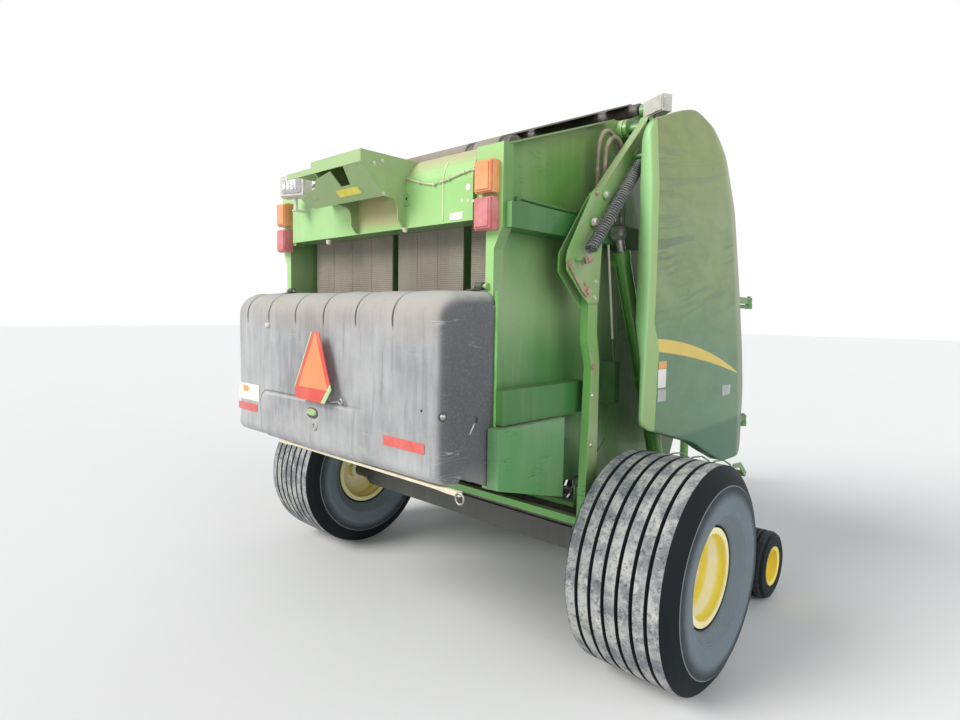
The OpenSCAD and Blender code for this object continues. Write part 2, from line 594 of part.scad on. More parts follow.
// Rear arms: bent side arms on the gate hinge pin, cross tube below
arm_lower = [[-252, 1930], [-252, 1560], [-212, 1440], [-225, 1090], [-242, 620], [-88, 620], [-84, 690],
    [-138, 740], [-142, 1080], [-145, 1460], [-175, 1600], [-180, 1930]];
elbow_plate = [[-519, 1939], [-516, 1867], [-353, 1735], [-180, 1735], [-60, 2225], [-120, 2330],
    [-263, 2243], [-382, 2114]];
spring_low = [-375, 1925];
spring_high = [128, 2472];
disch_p = [-133, 663];
module rear_arms() color(lime) {
    both() difference() {
        union() {
            plate_x(arm_lower, arm_in, arm_t);
            plate_x(elbow_plate, arm_in - 8, 8);
            plate_x(elbow_plate, arm_out, 8);
            plate_x(ribbon([[-250, 1880], [-165, 2240]], 90), arm_in, arm_t);
            plate_x(ribbon([[-190, 2190], [hinge_y, hinge_z]], 86), arm_in, arm_t);
            rod_x([hinge_y, hinge_z], 48, arm_in, arm_out);
            plate_x(ribbon([[160, 2500], spring_high + [-6, -8]], 40), arm_out, 8);
            for (p = [spring_low, spring_high]) rod_x(p, 10, arm_out + 8, spring_x + 22);
            for (p = [elbow_a, elbow_b]) rod_x(p, 22, arm_out + 8, arm_out + 20);
        }
        rod_x([hinge_y, hinge_z], hinge_pin_r + bore_gap, arm_in - 1, arm_out + 1);
        rod_x(disch_p, 20 + bore_gap, arm_in - 1, arm_out + 1);
    }
    box(-arm_in, arm_in, -228, -190, 664, 702);
}
module discharge_roller() color(grey) {
    rod_x(disch_p, roller_r, -arm_in + 6, arm_in - 6);
    both() rod_x(disch_p, 20, arm_in - 6, arm_out);
}
// one spring: a wire swept round a helix, closed coils from the low to the high anchor
wire_r = 4.6;
wire_sides = 4;
coil_steps = 8;
spring_x = arm_in + 100;
spring_v = spring_high - spring_low;
spring_tilt = atan2(spring_v.x, spring_v.y);
coil_start = 60;
coil_len = norm(spring_v) - 2 * coil_start;
function coil_point(i, a) = let(t = i / coil_steps, r = spring_r + wire_r * cos(a))
    [r * cos(360 * t), r * sin(360 * t), coil_start + coil_len * t / spring_turns + wire_r * sin(a)];
coil_n = spring_turns * coil_steps;
coil_points = [for (i = [0:coil_n]) for (k = [0:wire_sides - 1]) coil_point(i, 360 * k / wire_sides)];
coil_faces = concat(
    [for (i = [0:coil_n - 1]) for (k = [0:wire_sides - 1]) let(m = (k + 1) % wire_sides, b = i * wire_sides)
        for (f = [[b + k, b + m, b + wire_sides + m], [b + k, b + wire_sides + m, b + wire_sides + k]]) f],
    [[for (k = [wire_sides - 1:-1:0]) k], [for (k = [0:wire_sides - 1]) coil_n * wire_sides + k]]);
module arm_springs() color(black) both() translate([spring_x, spring_low.x, spring_low.y])
    rotate([-spring_tilt, 0, 0]) {
        polyhedron(coil_points, coil_faces, convexity = 10);
        for (z = [0, norm(spring_v)]) difference() {
            translate([0, 0, z]) rotate([0, 90, 0]) cylinder(r = 20, h = 12, center = true);
            translate([0, 0, z]) rotate([0, 90, 0]) cylinder(r = 10 + run_gap, h = 14, center = true);
        }
        for (z = [14, norm(spring_v) - 14 - coil_start]) {
            translate([0, 0, z]) cylinder(r = 5, h = coil_start + (z < 100 ? 4 : 0));
        }
        for (z = [coil_start, norm(spring_v) - coil_start - 8])
            translate([0, 0, z]) cylinder(r = spring_r - wire_r * 0.6, h = 8);
    }

// Belts over the gate rollers: left edge and width of each belt in the usual 1580 chamber
usual_w = 1580;
belt_k = chamber_w / usual_w;
belt_table = [[-711, 178], [-530, 178], [-349, 178], [-168, 176],
    [57, 147], [206, 147], [355, 175], [581, 150]];
roll_r = 48;
roll_top = [-575, 2411];
roll_low = [-575, 1010];
roll_drive = [500, 2817];
belt_t = 7;
belt_lift = roll_r + belt_t / 2 + 0.8;
belt_slope = atan2(roll_drive.y - roll_top.y, roll_drive.x - roll_top.x);
belt_up = [-sin(belt_slope), cos(belt_slope)];
belt_dir = unit2(roll_drive - roll_top);
// place along the run nearest the gate hinge
// the gate's belts end 90 behind it, the frame's belts start 60 behind it
belt_foot = ([hinge_y, hinge_z] - roll_top) * belt_dir;
function on_run(d) = roll_top + d * belt_dir + belt_lift * belt_up;
belt_line = concat([on_run(belt_foot - 90)], arc(roll_top, belt_lift, 90 + belt_slope, 180, 6),
    arc(roll_low, belt_lift, 180, 350, 16));
drive_line = concat([on_run(belt_foot - 60)], arc(roll_drive, belt_lift, 90 + belt_slope, -30, 14),
    [[515, 2680]]);
module belts(line) for (b = belt_table) plate_x(ribbon(line, belt_t), belt_k * b[0], belt_k * b[1]);
module gate_belts() color(grey) belts(belt_line);
module frame_belts() color(grey) belts(drive_line);
module gate_rollers() color(steel)
    for (p = [roll_top, roll_low]) rod_x(p, roll_r, -sheet_x + run_gap, sheet_x - run_gap);
module drive_roller() color(steel) rod_x(roll_drive, roll_r, -sheet_x + run_gap, sheet_x - run_gap);

// Lamps: place on the right side, copied to the left
lamp_x = sheet_x + 21;
module lamp(z) {
    box(lamp_x - 48, lamp_x + 48, post_y - 40, post_y - run_gap, z - 66, z + 66);
    box(lamp_x - 43, lamp_x + 43, post_y - 52, post_y - 40, z - 61, z + 61);
    box(lamp_x - 36, lamp_x + 36, post_y - 57, post_y - 52, z - 54, z + 54);
}
module tail_lamps_amber() color("#d88a1c") both() lamp(2240);
module tail_lamps_red() color("#9c1f1a") both() lamp(2090);
// half width, half height and depth of a work lamp's box; the stem stands below it
module work_lamp(p, turn, half, stem) translate(p) rotate(turn) {
    box(-half.x, half.x, -half.z, half.z, -half.y, half.y);
    box(-half.x + 6, half.x - 6, -half.z - 8, -half.z, -half.y + 6, half.y - 6);
    translate([0, 0, -half.y - stem]) cylinder(r = 9, h = stem + 4);
}
module work_lamp_rear() color(grey) {
    work_lamp([-570, -850, 2362], 20, [85, 56, 30], 66);
    box(-590, -550, -865, -780 - run_gap, 2232, 2240);
}
module work_lamp_side() color(grey) {
    work_lamp([sheet_out + 170, 350, 2770], -25, [78, 43, 28], 12);
    box(lug_x + 20 + run_gap, lug_x + 40, 440, 500, 2700, 2724);
    strut([lug_x + 30, 470, 2712], [sheet_out + 185, 344, 2712], 24, 12);
}

// Net cover: hollow shell, open at the front and below
function cover_side(e) = concat([[-gate_rear - 2, cover_top - e], [-980, cover_top - 6 - e]],
    arc([-1018, 1714], 55 - e, 80, 180, 8),
    arc([-1018, 1075], 55 - e, 180, 262, 6),
    [[-gate_rear - 2, 935 + e]]);
function cover_plan(e) = concat([[cover_x - e, -gate_rear + 2], [-cover_x + e, -gate_rear + 2]],
    arc([-cover_x + 70, -1003], 70 - e, 180, 270, 6),
    arc([cover_x - 70, -1003], 70 - e, 270, 360, 6));
module cover_block(e) intersection() {
    plate_x(cover_side(e), -cover_x - 10, 2 * cover_x + 20);
    translate([0, 0, 850]) linear_extrude(1000) polygon(cover_plan(e));
}
// creases that run down from the rounded top edge: places across
crease_table = [-705, -469, -206, 46, 302, 560];
crease_foot = 1605;
crease_w = 9;
module cover_crease(x) translate([x - crease_w / 2, 0, 0]) rotate([90, 0, 90]) linear_extrude(crease_w)
    difference() {
        translate([-1200, crease_foot]) square([1200 - gate_rear - 30, 300]);
        polygon(cover_side(cover_t / 2));
    }
// raised panel across the lower half: left edge, right edge, foot, top
panel_edge = [-567, 790, 1032, 1250];
panel_rise = 5.5;
module cover_panel() intersection() {
    cover_block(-panel_rise);
    plate_y(concat([[panel_edge[1], panel_edge[2]], [panel_edge[1], panel_edge[3]]],
        arc([panel_edge[0] + 70, panel_edge[3] - 70], 70, 90, 180, 5), [[panel_edge[0], panel_edge[2]]]),
        -cover_rear - 20, 70);
}
module net_cover() color(grey) {
    difference() {
        union() {
            cover_block(0);
            cover_panel();
        }
        for (x = crease_table) cover_crease(x);
        translate([0, 12, 0]) cover_block(cover_t);
        box(-cover_x + cover_t, cover_x - cover_t, -960, -700, 850, 1050);
    }
    both() difference() {
        union() {
            rod_x(cover_hinge, 17, sheet_x - 48, sheet_x - 8);
            box(sheet_x - 48, sheet_x - 8, -812, -768, cover_top - 4, cover_top + 12);
        }
        rod_x(cover_hinge, cover_pin_r + bore_gap, sheet_x - 50, sheet_x - 6);
    }
}
// slow-moving triangle on its bracket
sign_z = 1400;
module slow_sign() color("#d8602a") {
    plate_y([[-134, sign_z - 86], [-120, sign_z - 142], [126, sign_z - 146], [182, sign_z - 77],
        [82, sign_z + 183], [19, sign_z + 183]], rear_end, 4);
    box(-20, 60, rear_end + 4, -cover_rear - run_gap, sign_z - 60, sign_z + 60);
}

// Gate cylinders: barrel from the frame pin, rod up to the gate
cyl_v = cyl_top - cyl_base;
cyl_l = norm(cyl_v);
cyl_tilt = atan2(-cyl_v.x, cyl_v.y);
barrel_l = cyl_l - 90;
pipe_x = cyl_r + 14;
module along_cylinder() translate([cyl_x, cyl_base.x, cyl_base.y]) rotate([cyl_tilt, 0, 0]) children();
module gate_cylinder() color(green) along_cylinder() difference() {
    union() {
        translate([0, 0, 40]) cylinder(r = cyl_r, h = barrel_l - 40);
        rotate([0, 90, 0]) cylinder(r = 44, h = 44, center = true);
        translate([0, 0, barrel_l - 46]) cylinder(r = cyl_r + 5, h = 46);
        // port blocks and the pipe that joins them
        for (z = [90, barrel_l - 60]) box(-pipe_x - 12, -20, -14, 14, z - 16, z + 16);
        translate([-pipe_x, 0, 90]) cylinder(r = 7, h = barrel_l - 150);
        for (z = [90, barrel_l - 60]) translate([-pipe_x, 0, z]) cylinder(r = 11, h = 30, $fn = 6);
    }
    rotate([0, 90, 0]) cylinder(r = 20 + bore_gap, h = 60, center = true);
    translate([0, 0, barrel_l - 760]) cylinder(r = rod_r + run_gap, h = 800);
}
module gate_rod() color(steel) along_cylinder() {
    translate([0, 0, barrel_l - 740]) cylinder(r = rod_r, h = cyl_l - barrel_l + 740 - 30);
    translate([0, 0, cyl_l]) rotate([0, 90, 0]) cylinder(r = 36, h = 48, center = true);
    translate([0, 0, cyl_l]) rotate([0, 90, 0]) translate([0, 0, 24]) cylinder(r = 20, h = 10);
}

// Thin gauge rod beside the right cylinder, with its bracket
module indicator_rod() color("#cfc8a8") {
    round_bar([sheet_out + 100, 24, 2034], [sheet_out + 100, 110, 1440], 6);
    box(bracket_x, sheet_out + 115, 100, 150, 1225, 1440);
}

// Two free hoses that rise from fittings on the upper beam, loop over and run down again
hose_r = 11;
hose_tan = "#8b8160";
fitting_h = 40;
hose_foot = 2140 + fitting_h + 2 * run_gap;
// route points: x, y, z
hose_rear_route = [[878, -54, hose_foot], [877, -56, 2260], [875, -58, 2350], [874, -59, 2430],
    [875, -52, 2510], [877, -24, 2568], [879, 28, 2592], [881, 82, 2570], [883, 112, 2512],
    [884, 120, 2430], [884, 119, 2350], [882, 116, 2260], [880, 114, hose_foot]];
hose_front_route = [[904, -30, hose_foot], [903, -32, 2255], [902, -34, 2340], [901, -34, 2415],
    [902, -26, 2490], [904, 4, 2540], [906, 50, 2560], [908, 96, 2540], [910, 124, 2486],
    [911, 132, 2415], [911, 131, 2340], [909, 128, 2255], [906, 126, hose_foot]];
hose_sides = 10;
function moved_out(p) = [for (q = p) q + [spread, 0, 0]];
// smooth curve through the route, at place t counted in route points
function route_at(p, t) = let(n = len(p) - 1, i = min(floor(t), n - 1), u = t - i,
    a = p[max(i - 1, 0)], b = p[i], c = p[i + 1], d = p[min(i + 2, n)])
    b + u * (c - a) / 2 + u * u * (a - 2.5 * b + 2 * c - d / 2)
        + u * u * u * (b * 1.5 - a / 2 - c * 1.5 + d / 2);
function route_line(p) = [for (i = [0:2 * len(p) - 2]) route_at(p, i / 2)];
// ring of points round the line, kept in step with the machine's x axis
function hose_ring(p, i, r) = let(n = len(p) - 1, d = p[min(i + 1, n)] - p[max(i - 1, 0)],
    w = cross(d, [1, 0, 0]) / norm(cross(d, [1, 0, 0])), v = cross(w, d) / norm(d))
    [for (k = [0:hose_sides - 1]) let(a = 360 * k / hose_sides)
        p[i] + r * (cos(a) * v + sin(a) * w)];
module hose(route, r) {
    line = route_line(route);
    n = len(line) - 1;
    s = hose_sides;
    polyhedron([for (i = [0:n]) each hose_ring(line, i, r)], concat(
        [for (i = [0:n - 1]) for (k = [0:s - 1]) let(m = (k + 1) % s, b = i * s)
            each [[b + k, b + s + k, b + s + m], [b + k, b + s + m, b + m]]],
        [[for (k = [0:s - 1]) k], [for (k = [s - 1:-1:0]) n * s + k]]), convexity = 8);
}
// Lamp cable clipped to the rear panel: share of the way from visor to lamp, and height
cable_r = 4.5;
cable_table = [[0.015, 2306], [0.085, 2293], [0.216, 2274], [0.429, 2251], [0.632, 2263], [0.827, 2279],
    [0.926, 2281], [0.998, 2280]];
function cable_x(share) = visor_x[2] + share * (lamp_x - 48 - visor_x[2]);
function panel_face(z) = z < 2252 ? -780 : -620 - sqrt(160 * 160 - pow(z - 2252, 2));
cable_route = [for (c = cable_table) [cable_x(c[0]), panel_face(c[1]) - cable_r - 1.2, c[1]]];
module lamp_cable() color(hose_tan) {
    hose(cable_route, cable_r);
    for (i = [2:5]) translate(cable_route[i]) box(-5, 5, -7, 4.4, -6.1, 6.1);
}
module hose_rear() color(hose_tan) hose(moved_out(hose_rear_route), hose_r);
module hose_front() color(hose_tan) hose(moved_out(hose_front_route), hose_r);
module hose_fittings() color(steel)
    for (r = [hose_rear_route, hose_front_route]) for (p = moved_out([r[0], r[len(r) - 1]])) {
        translate([p.x, p.y, 2140 + run_gap]) cylinder(r = 13, h = 16, $fn = 6);
        translate([p.x, p.y, 2140 + run_gap + 8]) cylinder(r = hose_r, h = fitting_h - 8);
    }

placed() main_frame();
placed() side_brackets();
placed() shield_posts();
placed() axle();
placed() drawbar();
placed() hitch_clevis();
placed() gearbox();
placed() pto_shaft();
placed() pto_guard();
placed() jack_tube();
placed() jack_leg();
placed() front_cover();
placed() starter_roller();
placed() floor_roller();
placed() tyre();  // tyre_right
placed_left() tyre();  // tyre_left
placed() rim();  // rim_right
placed_left() rim();  // rim_left
placed() pickup_frame();
placed() stripper_bands();
placed() tine_reel();
placed() wind_guard();
placed() gauge_arms();
placed() gauge_tyre();  // gauge_tyre_right
placed_left() gauge_tyre();  // gauge_tyre_left
placed() gauge_rim();  // gauge_rim_right
placed_left() gauge_rim();  // gauge_rim_left
placed() side_shield();  // side_shield_right
placed_left() side_shield();  // side_shield_left
placed() gate_frame();
placed() side_beams();
placed() corner_boxes();
placed() rear_visor();
placed() sensor_box();
placed() rear_arms();
placed() arm_springs();
placed() gate_belts();
placed() gate_rollers();
placed() frame_belts();
placed() drive_roller();
placed() discharge_roller();
placed() tail_lamps_amber();
placed() tail_lamps_red();
placed() work_lamp_rear();
placed() work_lamp_side();
placed() net_cover();
placed() slow_sign();
placed() gate_cylinder();  // gate_cylinder_right
placed_left() gate_cylinder();  // gate_cylinder_left
placed() gate_rod();  // gate_rod_right
placed_left() gate_rod();  // gate_rod_left
placed() indicator_rod();
placed() hose_rear();
placed() hose_front();
placed() hose_fittings();
placed() lamp_cable();
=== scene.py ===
import json
import math

import bpy
import numpy as np
from mathutils import Matrix, Vector


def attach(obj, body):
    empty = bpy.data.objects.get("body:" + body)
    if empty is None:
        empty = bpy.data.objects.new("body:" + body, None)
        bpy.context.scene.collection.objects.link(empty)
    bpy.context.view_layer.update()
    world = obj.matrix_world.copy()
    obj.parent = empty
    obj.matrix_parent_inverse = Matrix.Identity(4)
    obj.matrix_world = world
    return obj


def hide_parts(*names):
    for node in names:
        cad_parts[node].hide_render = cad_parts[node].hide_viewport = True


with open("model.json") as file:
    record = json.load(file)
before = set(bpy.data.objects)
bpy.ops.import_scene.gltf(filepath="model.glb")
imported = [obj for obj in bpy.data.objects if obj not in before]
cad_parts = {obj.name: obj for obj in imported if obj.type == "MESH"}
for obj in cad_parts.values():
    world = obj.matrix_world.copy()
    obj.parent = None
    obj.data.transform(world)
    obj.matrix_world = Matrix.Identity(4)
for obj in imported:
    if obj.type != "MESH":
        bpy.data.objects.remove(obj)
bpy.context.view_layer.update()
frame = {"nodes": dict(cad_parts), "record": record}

axleY = -1.115
print("frame loaded:", len(frame["nodes"]), "nodes")

# camera and lights; turns in radians, lens and sensor in mm
cameraSet = {"place": (2.5349, -3.7654, 1.6816), "yaw": 0.7520, "pitch": 0.0770, "roll": 0.0159,
             "lens": 22.745, "sensor": 36.0, "far": 200.0}


def makeCamera(s):
    sinYaw, cosYaw = math.sin(s["yaw"]), math.cos(s["yaw"])
    ahead = np.array([-sinYaw * math.cos(s["pitch"]), cosYaw * math.cos(s["pitch"]), -math.sin(s["pitch"])])
    side = np.array([cosYaw, sinYaw, 0.0])
    up = np.cross(side, ahead)
    right = side * math.cos(s["roll"]) + up * math.sin(s["roll"])
    top = up * math.cos(s["roll"]) - side * math.sin(s["roll"])
    camera = bpy.data.objects.new("viewCamera", bpy.data.cameras.new("viewCamera"))
    camera.data.lens = s["lens"]
    camera.data.sensor_width = s["sensor"]
    camera.data.clip_end = s["far"]
    turn = np.column_stack([right, top, -ahead])
    camera.matrix_world = Matrix.Translation(Vector(s["place"])) @ Matrix(turn.tolist()).to_4x4()
    bpy.context.scene.collection.objects.link(camera)
    bpy.context.scene.camera = camera


lightSet = {
    # name: way the light travels, strength, softness in degrees, colour
    "keyLight": ((0.36, 0.74, -0.56), 2.85, 32.0, (1.0, 0.985, 0.955)),
    "sideLight": ((-0.90, 0.25, -0.36), 1.40, 60.0, (0.955, 0.98, 1.0)),
    "frontLight": ((-0.15, -0.80, -0.60), 0.40, 70.0, (1.0, 1.0, 1.0)),
}
worldSet = {"ambient": (0.345, 0.360, 0.385), "backdrop": (1.0, 1.0, 1.0)}


def makeLights(table):
    for name, (way, strength, softness, colour) in table.items():
        lamp = bpy.data.lights.new(name, "SUN")
        lamp.energy = strength
        lamp.angle = math.radians(softness)
        lamp.color = colour
        holder = bpy.data.objects.new(name, lamp)
        holder.rotation_euler = Vector(way).to_track_quat("-Z", "Y").to_euler()
        bpy.context.scene.collection.objects.link(holder)


makeCamera(cameraSet)
makeLights(lightSet)
bpy.context.scene.view_settings.view_transform = "Standard"
print("camera and lights placed")


class Value:
    # wraps a socket, so that arithmetic on it adds Math nodes
    def __init__(self, sheet, socket):
        self.sheet, self.socket = sheet, socket

    def math(self, operation, *others, clamp=False):
        inputs = {i: v for i, v in enumerate((self,) + others)}
        return self.sheet.add("ShaderNodeMath", {"operation": operation, "use_clamp": clamp}, inputs)

    def __add__(self, other):
        return self.math("ADD", other)

    def __sub__(self, other):
        return self.math("SUBTRACT", other)

    def __rsub__(self, other):
        return self.sheet.add("ShaderNodeMath", {"operation": "SUBTRACT"}, {0: other, 1: self})

    def __mul__(self, other):
        return self.math("MULTIPLY", other)

    def __truediv__(self, other):
        return self.math("DIVIDE", other)

    def __pow__(self, other):
        return self.math("POWER", other)

    def __gt__(self, other):
        return self.math("GREATER_THAN", other)

    def __lt__(self, other):
        return self.math("LESS_THAN", other)

    def __abs__(self):
        return self.math("ABSOLUTE")

    def clamped(self):
        return self.math("ADD", 0.0, clamp=True)

    def smaller(self, other):
        return self.math("MINIMUM", other)

    def larger(self, other):
        return self.math("MAXIMUM", other)

    __radd__ = __add__
    __rmul__ = __mul__


class ShaderSheet:
    # one material's node tree, with the few calls the finishes use
    def __init__(self, name):
        self.material = bpy.data.materials.new(name)
        self.material.use_nodes = True
        self.tree = self.material.node_tree
        self.shader = self.tree.nodes["Principled BSDF"]
        self.place = self.add("ShaderNodeTexCoord", {}, {}, "Object")
        self.facing = self.add("ShaderNodeTexCoord", {}, {}, "Normal")

    def add(self, kind, settings, inputs, output=0):
        node = self.tree.nodes.new(kind)
        for key, value in settings.items():
            setattr(node, key, value)
        for key, value in inputs.items():
            self.feed(node.inputs[key], value)
        return Value(self, node.outputs[output])

    def feed(self, socket, value):
        if isinstance(value, Value):
            self.tree.links.new(value.socket, socket)
        elif isinstance(value, tuple) and socket.type == "RGBA":
            socket.default_value = tuple(value) + (1.0,)
        else:
            socket.default_value = value

    def set(self, **sockets):
        for key, value in sockets.items():
            self.feed(self.shader.inputs[key.replace("_", " ")], value)

    def axis(self, vector, which):
        return self.add("ShaderNodeSeparateXYZ", {}, {0: vector}, "XYZ".index(which))

    def stretched(self, scale, shift=(0.0, 0.0, 0.0), turn=(0.0, 0.0, 0.0)):
        return self.add("ShaderNodeMapping", {}, {"Vector": self.place, "Scale": scale, "Location": shift,
                                                  "Rotation": turn})

    def noise(self, scale, detail=3.0, vector=None, rough=0.55):
        return self.add("ShaderNodeTexNoise", {}, {"Vector": vector or self.place, "Scale": scale,
                                                   "Detail": detail, "Roughness": rough})

    def cells(self, scale):
        return self.add("ShaderNodeTexVoronoi", {}, {"Vector": self.place, "Scale": scale})

    def ease(self, value, low, high):
        # 0 below low, 1 above high, smooth between them
        return self.add("ShaderNodeMapRange", {"interpolation_type": "SMOOTHSTEP"},
                        {"Value": value, "From Min": low, "From Max": high})

    def rearward(self, low, high):
        return self.ease(self.axis(self.facing, "Y") * -1.0, low, high)

    def upward(self, low, high):
        return self.ease(self.axis(self.facing, "Z"), low, high)

    def sideways(self, low, high):
        return self.ease(abs(self.axis(self.facing, "X")), low, high)

    def band(self, value, low, high, soft):
        return self.ease(value, low - soft, low + soft) * (1 - self.ease(value, high - soft, high + soft))

    def blend(self, factor, first, second):
        return self.add("ShaderNodeMix", {"data_type": "RGBA"}, {0: factor, 6: first, 7: second}, 2)

    def tint(self, colour, factor):
        # colour brought darker or lighter by a grey factor
        grey = self.add("ShaderNodeCombineXYZ", {}, {0: factor, 1: factor, 2: factor})
        return self.add("ShaderNodeVectorMath", {"operation": "MULTIPLY"}, {0: colour, 1: grey})

    def lay(self, factor, colour):
        # one more layer over the colour so far
        self.colour = self.blend(factor, self.colour, colour)

    def done(self, roughness, height, depth, **sockets):
        self.set(Base_Color=self.colour, Roughness=roughness, **sockets)
        self.set(Normal=self.add("ShaderNodeBump", {}, {"Height": height, "Distance": depth}))
        return self.material


def sheetDust(s, level):
    # dust gathers on what faces up, in patches, and thinly everywhere
    up = s.upward(0.30, 0.90)
    patch = s.ease(s.noise(2.3, 5.0), 0.38, 0.72)
    film = s.ease(s.noise(11.0, 6.0, rough=0.7), 0.35, 0.8)
    return ((up * 0.80 + patch * 0.26 + film * 0.14) * level).clamped()


def scratches(s, scale, turn, keep):
    # thin lines where a stretched noise crosses its middle value
    line = abs(s.noise(scale, 2.0, s.stretched((1.0, 1.0, 9.0), turn=turn)) - 0.5)
    gate = s.ease(s.noise(3.1, 2.0), keep, keep + 0.1)
    return (1 - s.ease(line, 0.0, 0.010)) * gate


def finishPaint(s, dust, level, gloss, wear, scar):
    # the layers that every enamel shares: run-down streaks, dust, scratches, chips and orange peel
    streak = s.ease(s.noise(5.0, 4.0, s.stretched((3.0, 3.0, 0.35))), 0.45, 0.75)
    s.lay(streak * 0.16, dust)
    dusty = sheetDust(s, level)
    s.lay(dusty, dust)
    marks = (scratches(s, 2.2, (0.4, 0.7, 0.2), wear) + scratches(s, 3.0, (0.9, -0.5, 0.6), wear)).clamped()
    s.lay(marks * 0.45, scar)
    chips = s.ease(s.noise(46.0, 3.0), 0.735, 0.76)
    s.lay(chips * 0.6, (0.120, 0.070, 0.040))
    grain = s.noise(130.0, 3.0) * 0.5 + s.noise(7.0, 3.0) * 1.5 - marks * 0.4 - chips * 0.6
    return s.done((dusty * 0.40 + marks * 0.15 + gloss).clamped(), grain, 0.0009, Coat_Weight=0.20)


paintSet = {
    # finish: shaded colour, lit colour, rear-face colour (paler sun-bleached paint with painted light),
    # side-face colour (dust, and painted shade where it is darker), dust, dust level, gloss, wear
    "greenPaint": ((0.050, 0.170, 0.030), (0.100, 0.290, 0.060), (0.150, 0.420, 0.105), (0.190, 0.300, 0.130),
                   (0.300, 0.310, 0.180), 0.60, 0.36, 0.56),
    "beamPaint": ((0.030, 0.135, 0.030), (0.050, 0.190, 0.045), (0.150, 0.390, 0.110), (0.036, 0.162, 0.038),
                  (0.220, 0.270, 0.120), 0.34, 0.42, 0.58),
    "limePaint": ((0.095, 0.340, 0.055), (0.150, 0.430, 0.095), (0.185, 0.560, 0.120), (0.300, 0.350, 0.180),
                  (0.430, 0.390, 0.250), 0.80, 0.40, 0.56),
    "visorPaint": ((0.210, 0.360, 0.125), (0.310, 0.450, 0.185), (0.350, 0.530, 0.225), (0.200, 0.270, 0.095),
                   (0.470, 0.450, 0.290), 0.78, 0.46, 0.62),
    "boxPaint": ((0.050, 0.200, 0.050), (0.100, 0.300, 0.100), (0.180, 0.400, 0.170), (0.110, 0.270, 0.110),
                 (0.360, 0.380, 0.260), 0.60, 0.42, 0.54),
    "axlePaint": ((0.030, 0.032, 0.030), (0.060, 0.062, 0.056), (0.075, 0.077, 0.070), (0.080, 0.080, 0.070),
                  (0.200, 0.190, 0.150), 0.50, 0.45, 0.60),
    "cylinderPaint": ((0.050, 0.210, 0.022), (0.085, 0.290, 0.035), (0.100, 0.330, 0.050),
                      (0.100, 0.260, 0.050), (0.280, 0.290, 0.170), 0.25, 0.26, 0.72),
}


def makePaint(name):
    shade, lit, rearLitColour, sideDustShadeColour, dust, level, gloss, wear = paintSet[name]
    s = ShaderSheet(name)
    broad = s.ease(s.noise(0.9, 4.0), 0.30, 0.70)
    s.colour = s.blend(broad, shade, lit)
    # rear faces painted lighter: paler sun-bleached paint together with painted light from behind
    rear = s.rearward(0.55, 0.95)
    s.lay(rear * 0.85, rearLitColour)
    # side faces patched with a duller colour: dust, and painted shade where the colour is darker than the lit
    # one
    side = s.sideways(0.55, 0.95)
    s.lay(side * s.ease(s.noise(1.7, 5.0, rough=0.62), 0.32, 0.62) * 0.75, sideDustShadeColour)
    return finishPaint(s, dust, level, gloss, wear, tuple(c * 0.4 for c in shade))


# gate: smooth side sheets with cloudy dust between the beams, and the panel and posts behind, whose rear
# faces are painted paler: sun-bleached paint together with painted light
gateSet = {"deep": (0.088, 0.240, 0.038), "clean": (0.075, 0.225, 0.062), "film": (0.290, 0.430, 0.195),
           "panel": (0.300, 0.600, 0.180), "pale": (0.420, 0.680, 0.300), "tan": (0.520, 0.440, 0.210),
           "dust": (0.420, 0.400, 0.240), "recess": (-0.085, 0.288)}


def makeGatePaint():
    c = gateSet
    s = ShaderSheet("gatePaint")
    x, z = s.axis(s.place, "X"), s.axis(s.place, "Z")
    cloud = s.noise(1.15, 4.0, s.stretched((1.0, 1.0, 0.55)), 0.5)
    zone = s.band(z + cloud * 0.35, 1.80, 2.22, 0.16)
    s.colour = s.blend(s.ease(z, 1.9, 2.2), c["clean"], c["deep"])
    s.lay((zone * (s.ease(cloud, 0.30, 0.66) * 0.6 + 0.32)).clamped(), c["film"])
    mould = s.ease(s.noise(3.0, 6.0, s.stretched((1.0, 1.0, 0.6)), 0.68), 0.52, 0.70)
    s.lay(mould * 0.28, (0.075, 0.170, 0.060))
    high = s.ease(z + s.noise(1.6, 3.0) * 0.25, 2.45, 2.66)
    s.lay(high * 0.30, (0.300, 0.350, 0.130))
    # rear faces take the panel's pale colour: sun-bleached paint and painted light from behind
    rear = s.rearward(0.35, 0.80)
    # over the panel the green pales to the left and in patches
    pale = (s.ease(x, 0.2, -0.9) * 0.6 + s.ease(s.noise(2.1, 5.0), 0.36, 0.70) * 0.45).clamped()
    panel = s.blend(pale, c["panel"], c["pale"])
    recess = s.band(x, c["recess"][0], c["recess"][1], 0.006) * s.band(z, 2.10, 2.30, 0.035)
    panel = s.blend((recess * (s.noise(6.0, 5.0) * 0.7 + 0.45)).clamped(), panel, c["tan"])
    s.lay(rear, panel)
    crown = s.upward(0.30, 0.75) * s.ease(z, 2.2, 2.3)
    s.lay((crown * (s.noise(9.0, 6.0, rough=0.7) * 0.8 + 0.38)).clamped(), c["tan"])
    return finishPaint(s, c["dust"], 0.42, 0.38, 0.60, (0.035, 0.090, 0.030))


# shield: the yellow stripe tapers in a curve from the rear edge to the front, between two curves of y
shieldSet = {"low": (0.100, 0.212, 0.118), "mid": (0.170, 0.250, 0.090), "high": (0.185, 0.232, 0.048),
             "wipe": (0.048, 0.105, 0.034), "stripe": (0.660, 0.490, 0.080), "edge": (0.320, 0.480, 0.180),
             "rear": (0.330, 0.620, 0.260), "foot": (0.030, 0.118, 0.066), "dust": (0.280, 0.300, 0.130),
             "front": (0.300, 0.290, 0.200), "stripeRear": 0.093, "stripeFront": (1.02, 1.05),
             # curve: start, slope and bend
             "upper": (1.570, 0.05, 0.158), "lower": (1.508, 0.09, 0.068), "frontLine": (1.325, 0.172, 0.028),
             "frontFoot": 0.95}


